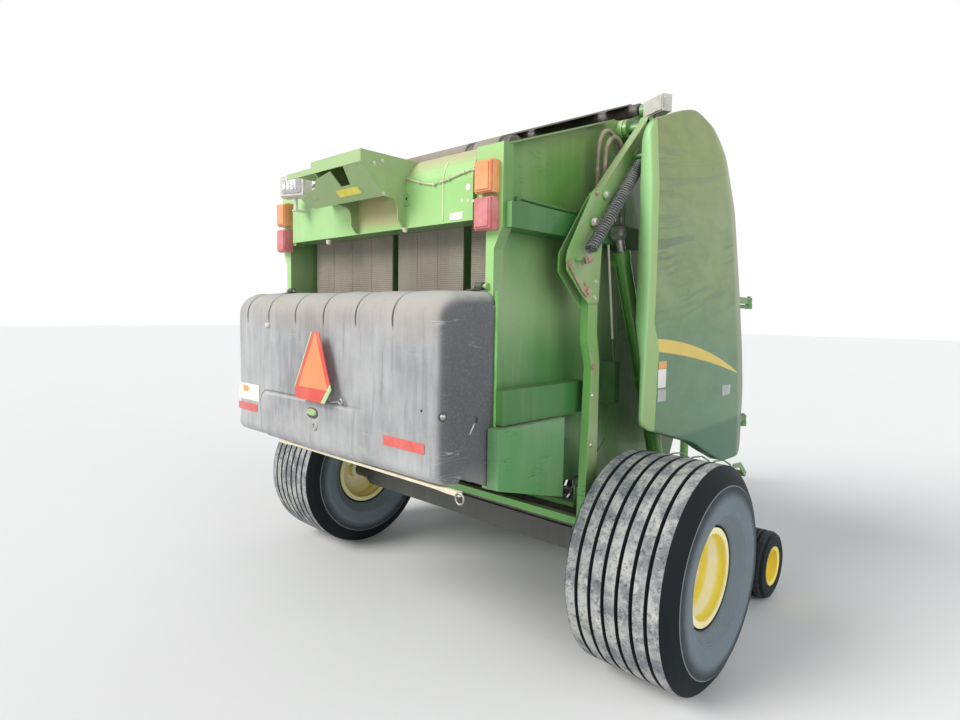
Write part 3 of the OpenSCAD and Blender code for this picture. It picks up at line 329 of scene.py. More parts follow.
def makeShieldPaint():
    c = shieldSet
    s = ShaderSheet("shieldPaint")
    y, z = s.axis(s.place, "Y") - axleY, s.axis(s.place, "Z")

    def curve(name, run):
        start, slope, bow = c[name]
        return start - run * slope - run * run * bow

    along = y - c["stripeRear"]
    upper, lower = curve("upper", along), curve("lower", along)
    outer = s.sideways(0.55, 0.75)
    drift = s.noise(1.9, 4.0) * 0.5 - 0.25
    s.colour = s.blend(s.ease(z + drift, 1.42, 1.95), c["low"], c["mid"])
    s.lay(s.ease(z + drift, 2.10, 2.62), c["high"])
    fine = s.ease(s.noise(6.5, 6.0, s.stretched((1.0, 0.8, 1.6)), 0.68), 0.35, 0.70)
    s.lay(fine * 0.34, c["wipe"])
    # strokes where the dust was wiped off: thin arcs that rise towards the front, broken along their length
    warp = s.noise(0.9, 3.0)
    lift = z - y * 0.14 - y * y * 0.09 + warp * 0.20
    lines = s.noise(1.0, 4.0, s.add("ShaderNodeCombineXYZ", {}, {0: y * 0.9, 1: lift * 34.0, 2: 0.4}), 0.60)
    short = s.ease(s.noise(1.5, 3.0, s.stretched((1.0, 0.9, 2.6))), 0.36, 0.52)
    zone = s.band(z + drift * 0.5, 1.68, 2.50, 0.08)
    dense = s.band(z - y * 0.16, 1.80, 2.08, 0.10) * 0.5 + 0.5
    strokes = s.ease(lines, 0.520, 0.560) * zone * short * dense
    s.lay(strokes * 0.85, c["wipe"])
    pale = s.ease(s.noise(1.3, 3.0, s.stretched((1.0, 0.7, 2.4), turn=(-0.2, 0.0, 0.0))), 0.50, 0.68)
    s.lay(pale * s.band(z, 1.55, 2.30, 0.2) * 0.30, (0.290, 0.360, 0.200))
    foot = 1 - s.ease(z - abs(y - 0.6) * 0.03, 1.03, 1.075)
    s.lay(foot * 0.9, c["foot"])
    # the rear chamfer widens where the stripe begins and is painted lighter as a painted highlight; a dusty
    # band runs down the front edge
    border = 0.034 + 0.056 * (1 - s.ease(z, 1.50, 1.68))
    rearBand = (y < border) * outer
    s.lay(rearBand * 0.9, c["edge"])
    ahead = y - curve("frontLine", z - c["frontFoot"])
    frontBand = s.ease(ahead + s.noise(4.0, 3.0) * 0.05, -0.120, -0.075) * outer
    s.lay(frontBand * 0.45, c["front"])
    stripe = (z < upper) * (z > lower) * (y > border) * outer
    stripe = stripe * (1 - s.ease(along, *c["stripeFront"]))
    # rear-facing flange painted bright green: painted light
    rim = s.rearward(0.55, 0.85)
    s.lay(rim, c["rear"])
    s.lay(stripe, s.tint(c["stripe"], s.noise(8.0, 4.0) * 0.20 + 0.88))
    dusty = sheetDust(s, 0.45) * (1 - stripe * 0.7)
    s.lay(dusty, c["dust"])
    roughness = (0.50 + dusty * 0.25 - strokes * 0.12 - stripe * 0.10).clamped()
    grain = s.noise(110.0, 3.0) * 0.5 + s.noise(5.0, 2.0) * 1.8 - strokes * 0.5
    return s.done(roughness, grain, 0.0009, Coat_Weight=0.12)


# cover: places across of the creases and their foot; left edge, top and corner of the raised panel
coverLines = {"creases": (-0.705, -0.469, -0.206, 0.046, 0.302, 0.560), "creaseFoot": 1.605,
              "panel": (-0.567, 1.250), "round": 0.075}
# side is painted shade on the cover's side faces; line is painted shade in the creases and beside the raised
# panel; lip is a painted highlight along the panel's lip
plasticSet = {"body": (0.255, 0.258, 0.266), "pale": (0.440, 0.440, 0.445), "dust": (0.440, 0.430, 0.400),
              "side": (0.080, 0.083, 0.088), "brown": (0.360, 0.310, 0.250), "line": (0.075, 0.074, 0.074),
              "lip": (0.600, 0.590, 0.570)}


def makeCoverPlastic():
    c = plasticSet
    s = ShaderSheet("coverPlastic")
    x, z = s.axis(s.place, "X"), s.axis(s.place, "Z")
    faceX = s.sideways(0.45, 0.85)
    rear = s.rearward(0.25, 0.75)
    up = s.upward(0.15, 0.80)
    cloud = s.ease(s.noise(2.1, 6.0, rough=0.60), 0.30, 0.70)
    s.colour = s.blend(cloud, c["body"], c["pale"])
    weave = s.ease(s.noise(30.0, 4.0, s.stretched((1.0, 1.0, 0.10)), 0.6), 0.36, 0.68)
    s.lay(weave * rear * 0.30, tuple(v * 1.25 for v in c["pale"]))
    grime = s.ease(s.noise(26.0, 4.0, s.stretched((1.0, 1.0, 0.14)), 0.6), 0.50, 0.74)
    s.lay(grime * rear * 0.42, tuple(v * 0.55 for v in c["body"]))
    shoulder = s.ease(z + s.noise(3.0, 5.0, rough=0.65) * 0.22, 1.66, 1.84)
    s.lay(shoulder * rear * 0.55, c["brown"])
    splash = s.ease(s.noise(7.0, 6.0, s.stretched((1.0, 1.0, 1.6)), 0.75), 0.50, 0.62)
    splash = splash * (1 - s.ease(z, 1.02, 1.30))
    s.lay(splash * 0.50, (0.430, 0.420, 0.400))
    # the side faces painted dark: painted shade
    s.lay(faceX * 0.92, s.blend(cloud * 0.6, c["side"], tuple(v * 1.35 for v in c["side"])))
    speck = s.ease(s.noise(120.0, 3.0, rough=0.7), 0.50, 0.66)
    s.lay(speck * faceX * 0.45, (0.200, 0.200, 0.200))
    hem = faceX * (1 - s.ease(z + s.noise(9.0, 5.0) * 0.10, 1.03, 1.12))
    s.lay(hem * 0.40, (0.300, 0.295, 0.280))
    powder = s.ease(s.noise(5.0, 6.0, rough=0.7), 0.28, 0.62)
    s.lay((up * (powder * 0.45 + 0.45)).clamped(), c["dust"])
    # painted shade in the creases, and round the raised panel a painted highlight along its lip with a
    # painted shade line beside it
    places, foot = coverLines["creases"], coverLines["creaseFoot"]
    near = abs(x - places[0])
    for crease in places[1:]:
        near = near.smaller(abs(x - crease))
    crease = (1 - s.ease(near, 0.0020, 0.0075)) * s.ease(z, foot - 0.010, foot + 0.030)
    s.lay(crease * rear * 0.50, c["line"])
    left, top = coverLines["panel"]
    acrossEdge, overEdge = left + coverLines["round"] - x, z - (top - coverLines["round"])
    outside = (acrossEdge.larger(0.0) ** 2 + overEdge.larger(0.0) ** 2) ** 0.5
    away = outside + acrossEdge.larger(overEdge).smaller(0.0) - coverLines["round"]
    fading = (1 - s.ease(x, 0.10, 0.42)) * rear
    s.lay(s.band(away, -0.016, -0.006, 0.003) * fading * 0.45, c["lip"])
    s.lay(s.band(away, 0.000, 0.008, 0.003) * fading * 0.65, c["line"])
    scuff = scratches(s, 2.6, (0.2, 0.5, 0.9), 0.58)
    s.lay(scuff * 0.6, (0.520, 0.520, 0.520))
    grain = s.noise(260.0, 3.0) + s.noise(70.0, 3.0) * 0.7 + s.noise(9.0, 4.0) * 1.2 - scuff * 0.4
    return s.done((up * 0.22 + cloud * 0.08 + 0.58).clamped(), grain, 0.0012, Specular_IOR_Level=0.30)


tyreSet = {"rubber": (0.010, 0.013, 0.015), "rib": (0.420, 0.420, 0.405), "bluish": (0.185, 0.198, 0.215),
           "straw": (0.600, 0.580, 0.510), "wall": (0.185, 0.225, 0.250), "dim": (0.040, 0.048, 0.053),
           "line": (0.330, 0.345, 0.345), "ribPitch": 0.0651, "ribStart": 0.228}


def makeTyreRubber(name, hub, radius, shoulder, bead, dustAndPaintedLight, rings):
    # bands by distance from the axle: rib tops, black shoulder, fine pale ring, dusted wall and bead; the
    # wall darkens towards the tread as painted shade
    c = tyreSet
    s = ShaderSheet(name)
    y, z = s.axis(s.place, "Y") - hub[1], s.axis(s.place, "Z") - hub[2]
    away = (y * y + z * z) ** 0.5
    crown = s.ease(away, radius - 0.0075, radius - 0.0045) * dustAndPaintedLight
    # a rib's edges stay black beside its grooves
    share = ((abs(s.axis(s.place, "X")) - hub[0] + c["ribStart"]) / c["ribPitch"]).math("FRACT")
    crown = crown * (1 - s.ease(abs(share - 0.5) + s.noise(20.0, 3.0) * 0.04, 0.372, 0.400))
    blotch = s.ease(s.noise(9.0, 6.0, rough=0.72), 0.40, 0.62)
    s.colour = s.blend(blotch, c["bluish"], c["rib"])
    straw = s.ease(s.noise(12.0, 5.0, rough=0.7), 0.57, 0.68)
    s.lay(straw * 0.6, c["straw"])
    speck = s.ease(s.noise(60.0, 4.0, rough=0.7), 0.54, 0.64)
    s.lay(speck * 0.55, c["rubber"])
    chalk = s.ease(s.noise(75.0, 3.0, s.stretched((1.0, 1.0, 1.0), (3.0, 1.0, 2.0))), 0.62, 0.70)
    s.lay(chalk * 0.6, c["straw"])
    s.colour = s.blend(crown, c["rubber"], s.colour)
    # the wall is pale with dust towards the rim and dark towards the tread, where the dark is painted shade
    belly = 1 - s.ease(away, shoulder * 0.83, shoulder * 0.97)
    wall = s.band(away, bead, shoulder, 0.004)
    film = s.ease(s.noise(5.0, 6.0, rough=0.65), 0.25, 0.75)
    wallColour = s.blend((belly * 0.85 * dustAndPaintedLight + film * 0.15).clamped(), c["dim"], c["wall"])
    smear = s.ease(s.noise(16.0, 5.0), 0.45, 0.75)
    wallColour = s.blend(smear * 0.25, wallColour, tuple(v * 0.7 for v in c["wall"]))
    s.lay(wall * (0.25 + dustAndPaintedLight * 0.75), wallColour)
    line = s.band(away, shoulder - 0.003, shoulder + 0.001, 0.0012)
    s.lay(line * 0.7 * dustAndPaintedLight, c["line"])
    ripple = (away * rings).math("SINE")
    grain = ripple * wall * 0.5 + s.noise(90.0, 3.0) * 0.5 + line * 1.5
    return s.done((crown * 0.22 + wall * 0.18 + 0.60).clamped(), grain, 0.0012, Specular_IOR_Level=0.10)


def makeWheelYellow(name, hub, edge, level):
    # rings of cream by depth inside the rim: flange, yellow, dusty ring, yellow, cream to the dish; the cream
    # is dust, with a painted highlight on the flange and painted light deep in the shaded barrel
    s = ShaderSheet(name)
    depth = edge - abs(abs(s.axis(s.place, "X")) - hub[0])
    s.colour = s.blend(s.noise(3.5, 4.0), (0.900, 0.680, 0.030), (0.930, 0.760, 0.070))
    flange = 1 - s.ease(depth, 0.003, 0.007)
    ring = s.band(depth, 0.040, 0.084, 0.008)
    deep = s.ease(depth, 0.108, 0.128)
    dusty = s.ease(s.noise(9.0, 6.0, rough=0.7), 0.25, 0.75)
    # flange and deep barrel lightened with cream: dust, a painted highlight on the flange, and painted light
    # against the recess's shade
    dustAndPaintedLight = ((flange * 0.55 + ring * 0.75 + deep * 0.85) * (dusty * 0.4 + 0.72) + dusty * 0.10) * level
    s.lay(dustAndPaintedLight.clamped(), (0.960, 0.920, 0.740))
    drip = s.ease(s.noise(22.0, 4.0, s.stretched((1.0, 1.0, 0.4))), 0.64, 0.76)
    s.lay(drip * 0.22, (0.400, 0.300, 0.170))
    return s.done((dustAndPaintedLight * 0.3 + 0.36).clamped(), s.noise(120.0, 3.0) + drip * 0.6, 0.0006, Coat_Weight=0.2)


# under: pale colour on the belts' undersides, painted light where they are in shade
beltSet = {"dark": (0.190, 0.168, 0.135), "pale": (0.430, 0.385, 0.315), "top": (0.300, 0.268, 0.220),
           "under": (0.800, 0.730, 0.620), "pitch": 0.0125}


def makeBeltRubber():
    c = beltSet
    s = ShaderSheet("beltRubber")
    x, z = s.axis(s.place, "X"), s.axis(s.place, "Z") + s.axis(s.place, "Y") * 0.4
    turn = 2 * math.pi / c["pitch"]
    # two crossed waves raise a diamond pattern; some belts are worn down to upright ribs
    diamond = ((x + z * 0.6) * turn).math("SINE") * ((x - z * 0.6) * turn).math("SINE")
    ribs = (x * (turn * 1.3)).math("SINE")
    patch = s.ease(s.noise(1.6, 3.0), 0.40, 0.62)
    pattern = diamond * (1 - patch * 0.5) + ribs * patch * 0.35
    dusty = s.ease(s.noise(5.0, 6.0, s.stretched((1.0, 1.0, 0.45)), 0.65), 0.25, 0.75)
    lit = (dusty * 0.45 + s.ease(pattern, -0.3, 0.7) * 0.42 + 0.10).clamped()
    s.colour = s.blend(lit, c["dark"], c["pale"])
    # downward faces high on the belts painted pale: painted light on their shaded undersides
    under = s.ease(s.axis(s.facing, "Z") * -1.0, 0.35, 0.85) * s.ease(s.axis(s.place, "Z"), 2.40, 2.45)
    s.lay(under, c["under"])
    top = s.upward(0.35, 0.85)
    s.lay(top * (s.noise(4.0, 6.0, rough=0.7) * 0.4 + 0.62), c["top"])
    return s.done((0.80 - patch * 0.08).clamped(), pattern * 0.8 + s.noise(60.0, 3.0) * 0.5, 0.0016)


metalSet = {
    # finish: dark colour, pale colour, rust amount, roughness, metallic
    "bareSteel": ((0.300, 0.295, 0.280), (0.520, 0.510, 0.490), 0.35, 0.38, 0.85),
    "rollerSteel": ((0.060, 0.058, 0.055), (0.130, 0.122, 0.112), 0.55, 0.52, 0.45),
    "springSteel": ((0.090, 0.092, 0.096), (0.190, 0.190, 0.190), 0.25, 0.42, 0.30),
    "zincBolt": ((0.520, 0.500, 0.440), (0.760, 0.740, 0.680), 0.12, 0.32, 0.80),
    "rustPin": ((0.300, 0.200, 0.135), (0.470, 0.340, 0.250), 0.45, 0.75, 0.10),
}


def makeMetal(name):
    dark, pale, rust, rough, metallic = metalSet[name]
    s = ShaderSheet(name)
    grain = s.noise(60.0, 4.0, s.stretched((1.0, 0.15, 1.0)))
    s.colour = s.blend(s.ease(grain, 0.3, 0.7), dark, pale)
    rusty = s.ease(s.noise(17.0, 6.0, rough=0.7), 0.62 - rust * 0.25, 0.80 - rust * 0.15) * rust
    s.lay(rusty, (0.180, 0.085, 0.040))
    dusty = s.ease(s.noise(8.0, 5.0), 0.45, 0.75)
    s.lay(dusty * 0.30, (0.330, 0.300, 0.240))
    return s.done((rough + rusty * 0.35 + dusty * 0.15).clamped(),
                  grain * 0.5 + rusty * 0.8 + s.noise(150.0, 2.0) * 0.3, 0.0006,
                  Metallic=(metallic * (1 - rusty)).clamped())


plainSet = {
    # finish: colour, second colour, roughness, coat
    "guardPlastic": ((0.040, 0.040, 0.038), (0.095, 0.090, 0.080), 0.55, 0.0),
    "amberLens": ((0.740, 0.280, 0.105), (0.800, 0.370, 0.160), 0.34, 0.4),
    "redLens": ((0.560, 0.130, 0.145), (0.660, 0.240, 0.240), 0.34, 0.4),
    "lampWhite": ((0.520, 0.500, 0.450), (0.680, 0.660, 0.610), 0.42, 0.1),
    "lampGlass": ((0.300, 0.300, 0.290), (0.430, 0.430, 0.415), 0.18, 0.6),
    "creamPaint": ((0.620, 0.560, 0.400), (0.740, 0.690, 0.540), 0.45, 0.1),
    "hoseRubber": ((0.215, 0.170, 0.120), (0.380, 0.320, 0.240), 0.70, 0.0),
    "cableSheath": ((0.520, 0.470, 0.310), (0.680, 0.630, 0.450), 0.60, 0.0),
    "seamPaint": ((0.600, 0.740, 0.400), (0.700, 0.800, 0.500), 0.50, 0.1),
    "edgePaint": ((0.150, 0.470, 0.090), (0.230, 0.600, 0.150), 0.40, 0.2),
    "labelWhite": ((0.700, 0.690, 0.650), (0.800, 0.795, 0.770), 0.50, 0.0),
    "labelGrey": ((0.340, 0.360, 0.350), (0.450, 0.470, 0.460), 0.50, 0.0),
    "labelYellow": ((0.720, 0.620, 0.060), (0.820, 0.740, 0.140), 0.45, 0.0),
    "labelOrange": ((0.720, 0.300, 0.080), (0.800, 0.380, 0.120), 0.45, 0.0),
    "tapeRed": ((0.620, 0.085, 0.065), (0.720, 0.150, 0.120), 0.30, 0.4),
    # dark plates put over holes: painted shade
    "paintedShadeHole": ((0.012, 0.012, 0.012), (0.022, 0.022, 0.022), 0.80, 0.0),
}


def makePlain(name):
    first, second, rough, coat = plainSet[name]
    s = ShaderSheet(name)
    cloud = s.ease(s.noise(13.0, 5.0, rough=0.65), 0.3, 0.7)
    s.colour = s.blend(cloud, first, second)
    grime = s.ease(s.noise(4.0, 6.0, rough=0.7), 0.48, 0.75)
    s.lay(grime * 0.28, (0.300, 0.270, 0.210))
    return s.done((rough + grime * 0.25).clamped(), s.noise(95.0, 3.0), 0.0005, Coat_Weight=coat)


rodSet = {"cream": (0.680, 0.630, 0.480), "green": (0.045, 0.130, 0.040), "split": 1.560}


def makeRodPaint():
    c = rodSet
    s = ShaderSheet("rodPaint")
    foot = (s.axis(s.place, "Z") < c["split"]) * 1.0
    grime = s.ease(s.noise(9.0, 5.0, rough=0.7), 0.40, 0.75)
    s.colour = s.blend(foot, c["cream"], s.tint(c["green"], s.noise(5.0, 3.0) * 0.8 + 0.6))
    s.lay(grime * 0.30, (0.260, 0.240, 0.170))
    return s.done((grime * 0.25 + 0.45).clamped(), s.noise(95.0, 3.0), 0.0005)


signSet = {
    # edge: a point on it, its inward normal (x, z), the depth of the border along it, and half the blur
    "left": ((-0.134, 1.314), (0.869, -0.494), 0.031, 0.001),
    "right": ((0.182, 1.323), (-0.933, -0.359), 0.027, 0.001),
    "foot": ((0.020, 1.256), (0.0, 1.0), 0.062, 0.001),
    "leftEdging": ((-0.134, 1.314), (0.869, -0.494), 0.0065, 0.0005),
    "cornerEdging": ((0.126, 1.254), (-0.776, 0.630), 0.0225, 0.0005),
    "orange": (0.790, 0.260, 0.085), "red": (0.640, 0.060, 0.045), "green": (0.400, 0.640, 0.330)}


def makeSignOrange():
    c = signSet
    s = ShaderSheet("signOrange")
    x, z = s.axis(s.place, "X"), s.axis(s.place, "Z")

    def beyond(edge):
        # 1 further in than the edge's border, 0 on the border
        (px, pz), (nx, nz), border, soft = c[edge]
        return s.ease((x - px) * nx + (z - pz) * nz, border - soft, border + soft)

    s.colour = s.blend(beyond("left") * beyond("right") * beyond("foot"), c["red"], c["orange"])
    s.lay((1 - beyond("leftEdging")).larger(1 - beyond("cornerEdging")), c["green"])
    faded = s.ease(s.noise(7.0, 5.0), 0.4, 0.75)
    s.lay(faded * 0.25, (0.800, 0.400, 0.220))
    return s.done((faded * 0.2 + 0.38).clamped(), s.cells(180.0) * 0.3, 0.0004, Coat_Weight=0.3)


def makeFloorFinish():
    s = ShaderSheet("paleFloor")
    s.colour = s.blend(s.noise(1.2, 3.0), (0.780, 0.780, 0.775), (0.800, 0.800, 0.795))
    return s.done(0.9, s.noise(30.0, 3.0), 0.0006)


finish = {name: makePaint(name) for name in paintSet}
finish.update({name: makeMetal(name) for name in metalSet})
finish.update({name: makePlain(name) for name in plainSet})
finish["gatePaint"] = makeGatePaint()
finish["shieldPaint"] = makeShieldPaint()
finish["coverPlastic"] = makeCoverPlastic()
finish["beltRubber"] = makeBeltRubber()
finish["signOrange"] = makeSignOrange()
finish["rodPaint"] = makeRodPaint()
mainHub, gaugeHub = (1.283, axleY, 0.512), (1.260, 1.140 + axleY, 0.200)
finish["tyreRubber"] = makeTyreRubber("tyreRubber", mainHub, 0.512, 0.425, 0.236, 1.0, 620.0)
finish["gaugeRubber"] = makeTyreRubber("gaugeRubber", gaugeHub, 0.200, 0.176, 0.100, 0.12, 900.0)
finish["wheelYellow"] = makeWheelYellow("wheelYellow", mainHub, 0.209, 1.0)
finish["gaugeYellow"] = makeWheelYellow("gaugeYellow", gaugeHub, 0.060, 0.15)
print("finishes made:", len(finish))


def makeWorld(s):
    world = bpy.data.worlds.new("studioWorld")
    world.use_nodes = True
    bpy.context.scene.world = world
    tree = world.node_tree
    tree.nodes.clear()
    path = tree.nodes.new("ShaderNodeLightPath")
    seen = path.outputs["Is Camera Ray"]
    for other in ("Is Glossy Ray", "Is Transmission Ray"):
        total = tree.nodes.new("ShaderNodeMath")
        total.operation, total.use_clamp = "ADD", True
        tree.links.new(seen, total.inputs[0])
        tree.links.new(path.outputs[other], total.inputs[1])
        seen = total.outputs[0]
    lightOnly, backdrop = tree.nodes.new("ShaderNodeBackground"), tree.nodes.new("ShaderNodeBackground")
    lightOnly.inputs["Color"].default_value = s["ambient"] + (1.0,)
    backdrop.inputs["Color"].default_value = s["backdrop"] + (1.0,)
    mixer, output = tree.nodes.new("ShaderNodeMixShader"), tree.nodes.new("ShaderNodeOutputWorld")
    tree.links.new(seen, mixer.inputs[0])
    tree.links.new(lightOnly.outputs[0], mixer.inputs[1])
    tree.links.new(backdrop.outputs[0], mixer.inputs[2])
    tree.links.new(mixer.outputs[0], output.inputs[0])


makeWorld(worldSet)


class Shape:
    # points and faces; shapes add up into one mesh
    def __init__(self, points, faces):
        self.points, self.faces = np.asarray(points, float), faces

    def __add__(self, other):
        step = len(self.points)
        return Shape(np.vstack([self.points, other.points]),
                     self.faces + [tuple(i + step for i in face) for face in other.faces])

    def mirrored(self):
        return Shape(self.points * (-1.0, 1.0, 1.0), [face[::-1] for face in self.faces])


def joined(shapes):
    # several shapes as one, in their order
    total = shapes[0]
    for shape in shapes[1:]:
        total = total + shape
    return total


def gridQuads(grid):
    # numbers of the points of a grid, and a quad from each to its neighbours, closed both ways
    rows, count = grid.shape[:2]
    index = np.arange(rows * count).reshape(rows, count)
    beside = np.roll(index, -1, 1)
    return index, np.stack([index, beside, np.roll(beside, -1, 0), np.roll(index, -1, 0)], -1)


def asFaces(quads):
    return [tuple(quad) for quad in quads.reshape(-1, 4).tolist()]


def skin(rings, closed=True):
    # P(i, j) is a grid of points: row i is one ring round the form, rows i and i + 1 are joined by quads,
    # and the first and last rows are closed by one face each
    rings = np.asarray(rings, float)
    index, quads = gridQuads(rings)
    quads = quads[:-1].reshape(-1, 4)
    middle = rings.reshape(-1, 3).mean(0)
    corner = rings.reshape(-1, 3)[quads] - middle
    volume = np.einsum("ij,ij->", corner[:, 0], np.cross(corner[:, 1], corner[:, 2]))
    volume += np.einsum("ij,ij->", corner[:, 0], np.cross(corner[:, 2], corner[:, 3]))
    faces = asFaces(quads)
    if closed:
        faces += [tuple(index[0, ::-1].tolist()), tuple(index[-1].tolist())]
        for row, sign in ((0, -1.0), (-1, 1.0)):
            ring = rings[row] - middle
            volume += sign * np.einsum("j,ij->", ring.mean(0), np.cross(ring, np.roll(ring, -1, 0)))
    if volume < 0:
        faces = [face[::-1] for face in faces]
    return Shape(rings.reshape(-1, 3), faces)


def circleAbout(direction, steps):
    # the unit direction, the angles, and a unit circle square to it
    d = np.asarray(direction, float) / np.linalg.norm(direction)
    helper = np.array([0.0, 0.0, 1.0]) if abs(d[2]) < 0.9 else np.array([1.0, 0.0, 0.0])
    u = np.cross(helper, d)
    u /= np.linalg.norm(u)
    angle = np.linspace(0, 2 * np.pi, steps, endpoint=False)
    return d, angle, np.outer(np.cos(angle), u) + np.outer(np.sin(angle), np.cross(d, u))


def lathe(profile, centre, direction, steps=32, flats=0):
    # ring i has radius r_i at height h_i along the axis; a row with a third value follows a polygon instead
    d, angle, circle = circleAbout(direction, steps)
    rows = []
    for row in profile:
        reach = row[0] * np.ones(steps)
        if flats and len(row) > 2:
            part = np.pi / flats
            reach = row[0] * np.cos(part) / np.cos(np.mod(angle, 2 * part) - part)
        rows.append(np.asarray(centre) + d * row[1] + circle * reach[:, None])
    return skin(rows)


def turned(profile, centre, direction, steps=32):
    # closed section (radius, height) turned round an axis
    d, _, circle = circleAbout(direction, steps)
    rings = [np.asarray(centre) + d * high + circle * reach for reach, high in profile + profile[:1]]
    return skin(rings, closed=False)


def tubeRing(centre, direction, inner, outer, half):
    return turned([(inner, -half), (outer, -half), (outer, half), (inner, half)], centre, direction)


def pipe(path, radius, sides=10, up=(0.0, 0.0, 1.0)):
    # circle of the given radius carried along a path, kept in step with a fixed direction
    path = np.asarray(path, float)
    along = np.gradient(path, axis=0)
    along /= np.linalg.norm(along, axis=1)[:, None]
    u = np.cross(along, np.asarray(up))
    u /= np.linalg.norm(u, axis=1)[:, None]
    v = np.cross(along, u)
    angle = np.linspace(0, 2 * np.pi, sides, endpoint=False)[None, :, None]
    return skin(path[:, None] + radius * (np.cos(angle) * u[:, None] + np.sin(angle) * v[:, None]))


def plaque(centre, right, up, half, thick, power=14.0, edge=0.25):
    # plate with a superellipse outline |x/a|^p + |y/b|^p = 1; three rings: foot, edge and rounded face
    angle = np.linspace(0, 2 * np.pi, 40, endpoint=False)
    x = half[0] * np.sign(np.cos(angle)) * np.abs(np.cos(angle)) ** (2 / power)
    y = half[1] * np.sign(np.sin(angle)) * np.abs(np.sin(angle)) ** (2 / power)
    rows = []
    for shrink, height in ((0.0, 0.0), (0.0, thick * (1 - edge)), (thick * edge, thick)):
        scaleX, scaleY = 1 - shrink / half[0], 1 - shrink / half[1]
        rows.append(np.asarray(centre) + np.outer(x * scaleX, right) + np.outer(y * scaleY, up)
                    + np.cross(right, up) * height)
    return skin(rows)


def smoothPath(points, perSpan=6):
    # Catmull-Rom curve through the points
    p = np.asarray(points, float)
    ends = np.vstack([p[0], p, p[-1]])
    u = np.linspace(0, 1, perSpan, endpoint=False)[None, :, None]
    a, b, c, d = (ends[i:len(p) - 1 + i, None] for i in range(4))
    spans = b + u * (c - a) / 2 + u ** 2 * (a - 2.5 * b + 2 * c - d / 2)
    spans = spans + u ** 3 * (1.5 * b - a / 2 - 1.5 * c + d / 2)
    return np.vstack([spans.reshape(-1, 3), p[-1]])


def place(name, shape, body, finishName, smooth=True, bevel=None):
    mesh = bpy.data.meshes.new(name)
    mesh.from_pydata(shape.points.tolist(), [], shape.faces)
    mesh.materials.append(finish[finishName])
    if smooth:
        mesh.shade_smooth()
        mesh.set_sharp_from_angle(angle=math.radians(38))
    mesh.update()
    piece = bpy.data.objects.new(name, mesh)
    bpy.context.scene.collection.objects.link(piece)
    if bevel:
        softener = piece.modifiers.new("edge", "BEVEL")
        softener.width, softener.segments, softener.limit_method = bevel, 2, "ANGLE"
    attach(piece, body)
    return piece


def openSheet(rows, outward, loop=False, cap=False):
    # grid of points as a sheet of quads; its faces are turned so that they look along outward on the whole
    rows = np.asarray(rows, float)
    index, quads = gridQuads(rows)
    quads = (quads[:-1] if loop else quads[:-1, :-1]).reshape(-1, 4)
    corner = rows.reshape(-1, 3)[quads]
    facing = np.cross(corner[:, 2] - corner[:, 0], corner[:, 3] - corner[:, 1]).sum(0)
    faces = asFaces(quads)
    if cap:
        faces.append(tuple(index[-1].tolist()))
    if facing @ np.asarray(outward) < 0:
        faces = [face[::-1] for face in faces]
    return Shape(rows.reshape(-1, 3), faces)


def thicken(piece, wall):
    # gives a sheet its wall, on the side away from its faces
    solid = piece.modifiers.new("wall", "SOLIDIFY")
    solid.thickness, solid.offset = wall, -1.0


def bend(middle, radius, start, end, count):
    # points of an arc, in the plane of the profile
    angle = np.radians(np.linspace(start, end, count))
    return np.column_stack([middle[0] + radius * np.cos(angle), middle[1] + radius * np.sin(angle)])


def smoothStep(value, low, high):
    part = np.clip((value - low) / (high - low), 0, 1)
    return part * part * (3 - 2 * part)


def rounded(corners, perCorner=8):
    # closed outline: each corner (x, y, cut) is a parabola between the points that lie cut before and after
    points = np.array([corner[:2] for corner in corners], float)
    cut = np.array([corner[2] for corner in corners], float)[:, None]
    before, after = np.roll(points, 1, 0) - points, np.roll(points, -1, 0) - points
    start = points + before / np.linalg.norm(before, axis=1)[:, None] * cut
    end = points + after / np.linalg.norm(after, axis=1)[:, None] * cut
    u = np.linspace(0, 1, perCorner)[None, :, None]
    curve = (1 - u) ** 2 * start[:, None] + 2 * u * (1 - u) * points[:, None] + u ** 2 * end[:, None]
    return curve.reshape(-1, 2)


def evenly(outline, count):
    # a closed outline resampled at equal steps
    ring = np.vstack([outline, outline[:1]])
    along = np.concatenate([[0], np.cumsum(np.linalg.norm(np.diff(ring, axis=0), axis=1))])
    steps = np.linspace(0, along[-1], count, endpoint=False)
    return np.column_stack([np.interp(steps, along, ring[:, 0]), np.interp(steps, along, ring[:, 1])])


# finishes on the frame's own pieces, by material slot and then by node
slotFinish = {
    "green_paint": "greenPaint", "lime_paint": "limePaint", "wheel_yellow": "wheelYellow",
    "tyre_rubber": "tyreRubber", "belt_rubber": "beltRubber", "bare_steel": "bareSteel",
    "roller_steel": "rollerSteel", "spring_steel": "springSteel", "cover_plastic": "coverPlastic",
    "guard_plastic": "guardPlastic", "amber_lens": "amberLens", "red_lens": "redLens",
    "lamp_housing": "lampWhite", "sign_orange": "signOrange", "cream_paint": "creamPaint",
    "hose_rubber": "hoseRubber",
}
nodeFinish = {
    "gate_frame": "gatePaint", "side_shield_right": "shieldPaint", "side_shield_left": "shieldPaint",
    "indicator_rod": "rodPaint", "axle": "axlePaint", "side_beams": "beamPaint", "corner_boxes": "boxPaint",
    "rear_visor": "visorPaint",
    "lamp_cable": "cableSheath", "gate_cylinder_right": "cylinderPaint",
    "gate_cylinder_left": "cylinderPaint",
    "gauge_tyre_right": "gaugeRubber", "gauge_tyre_left": "gaugeRubber",
    "gauge_rim_right": "gaugeYellow", "gauge_rim_left": "gaugeYellow", "stripper_bands": "rollerSteel",
}


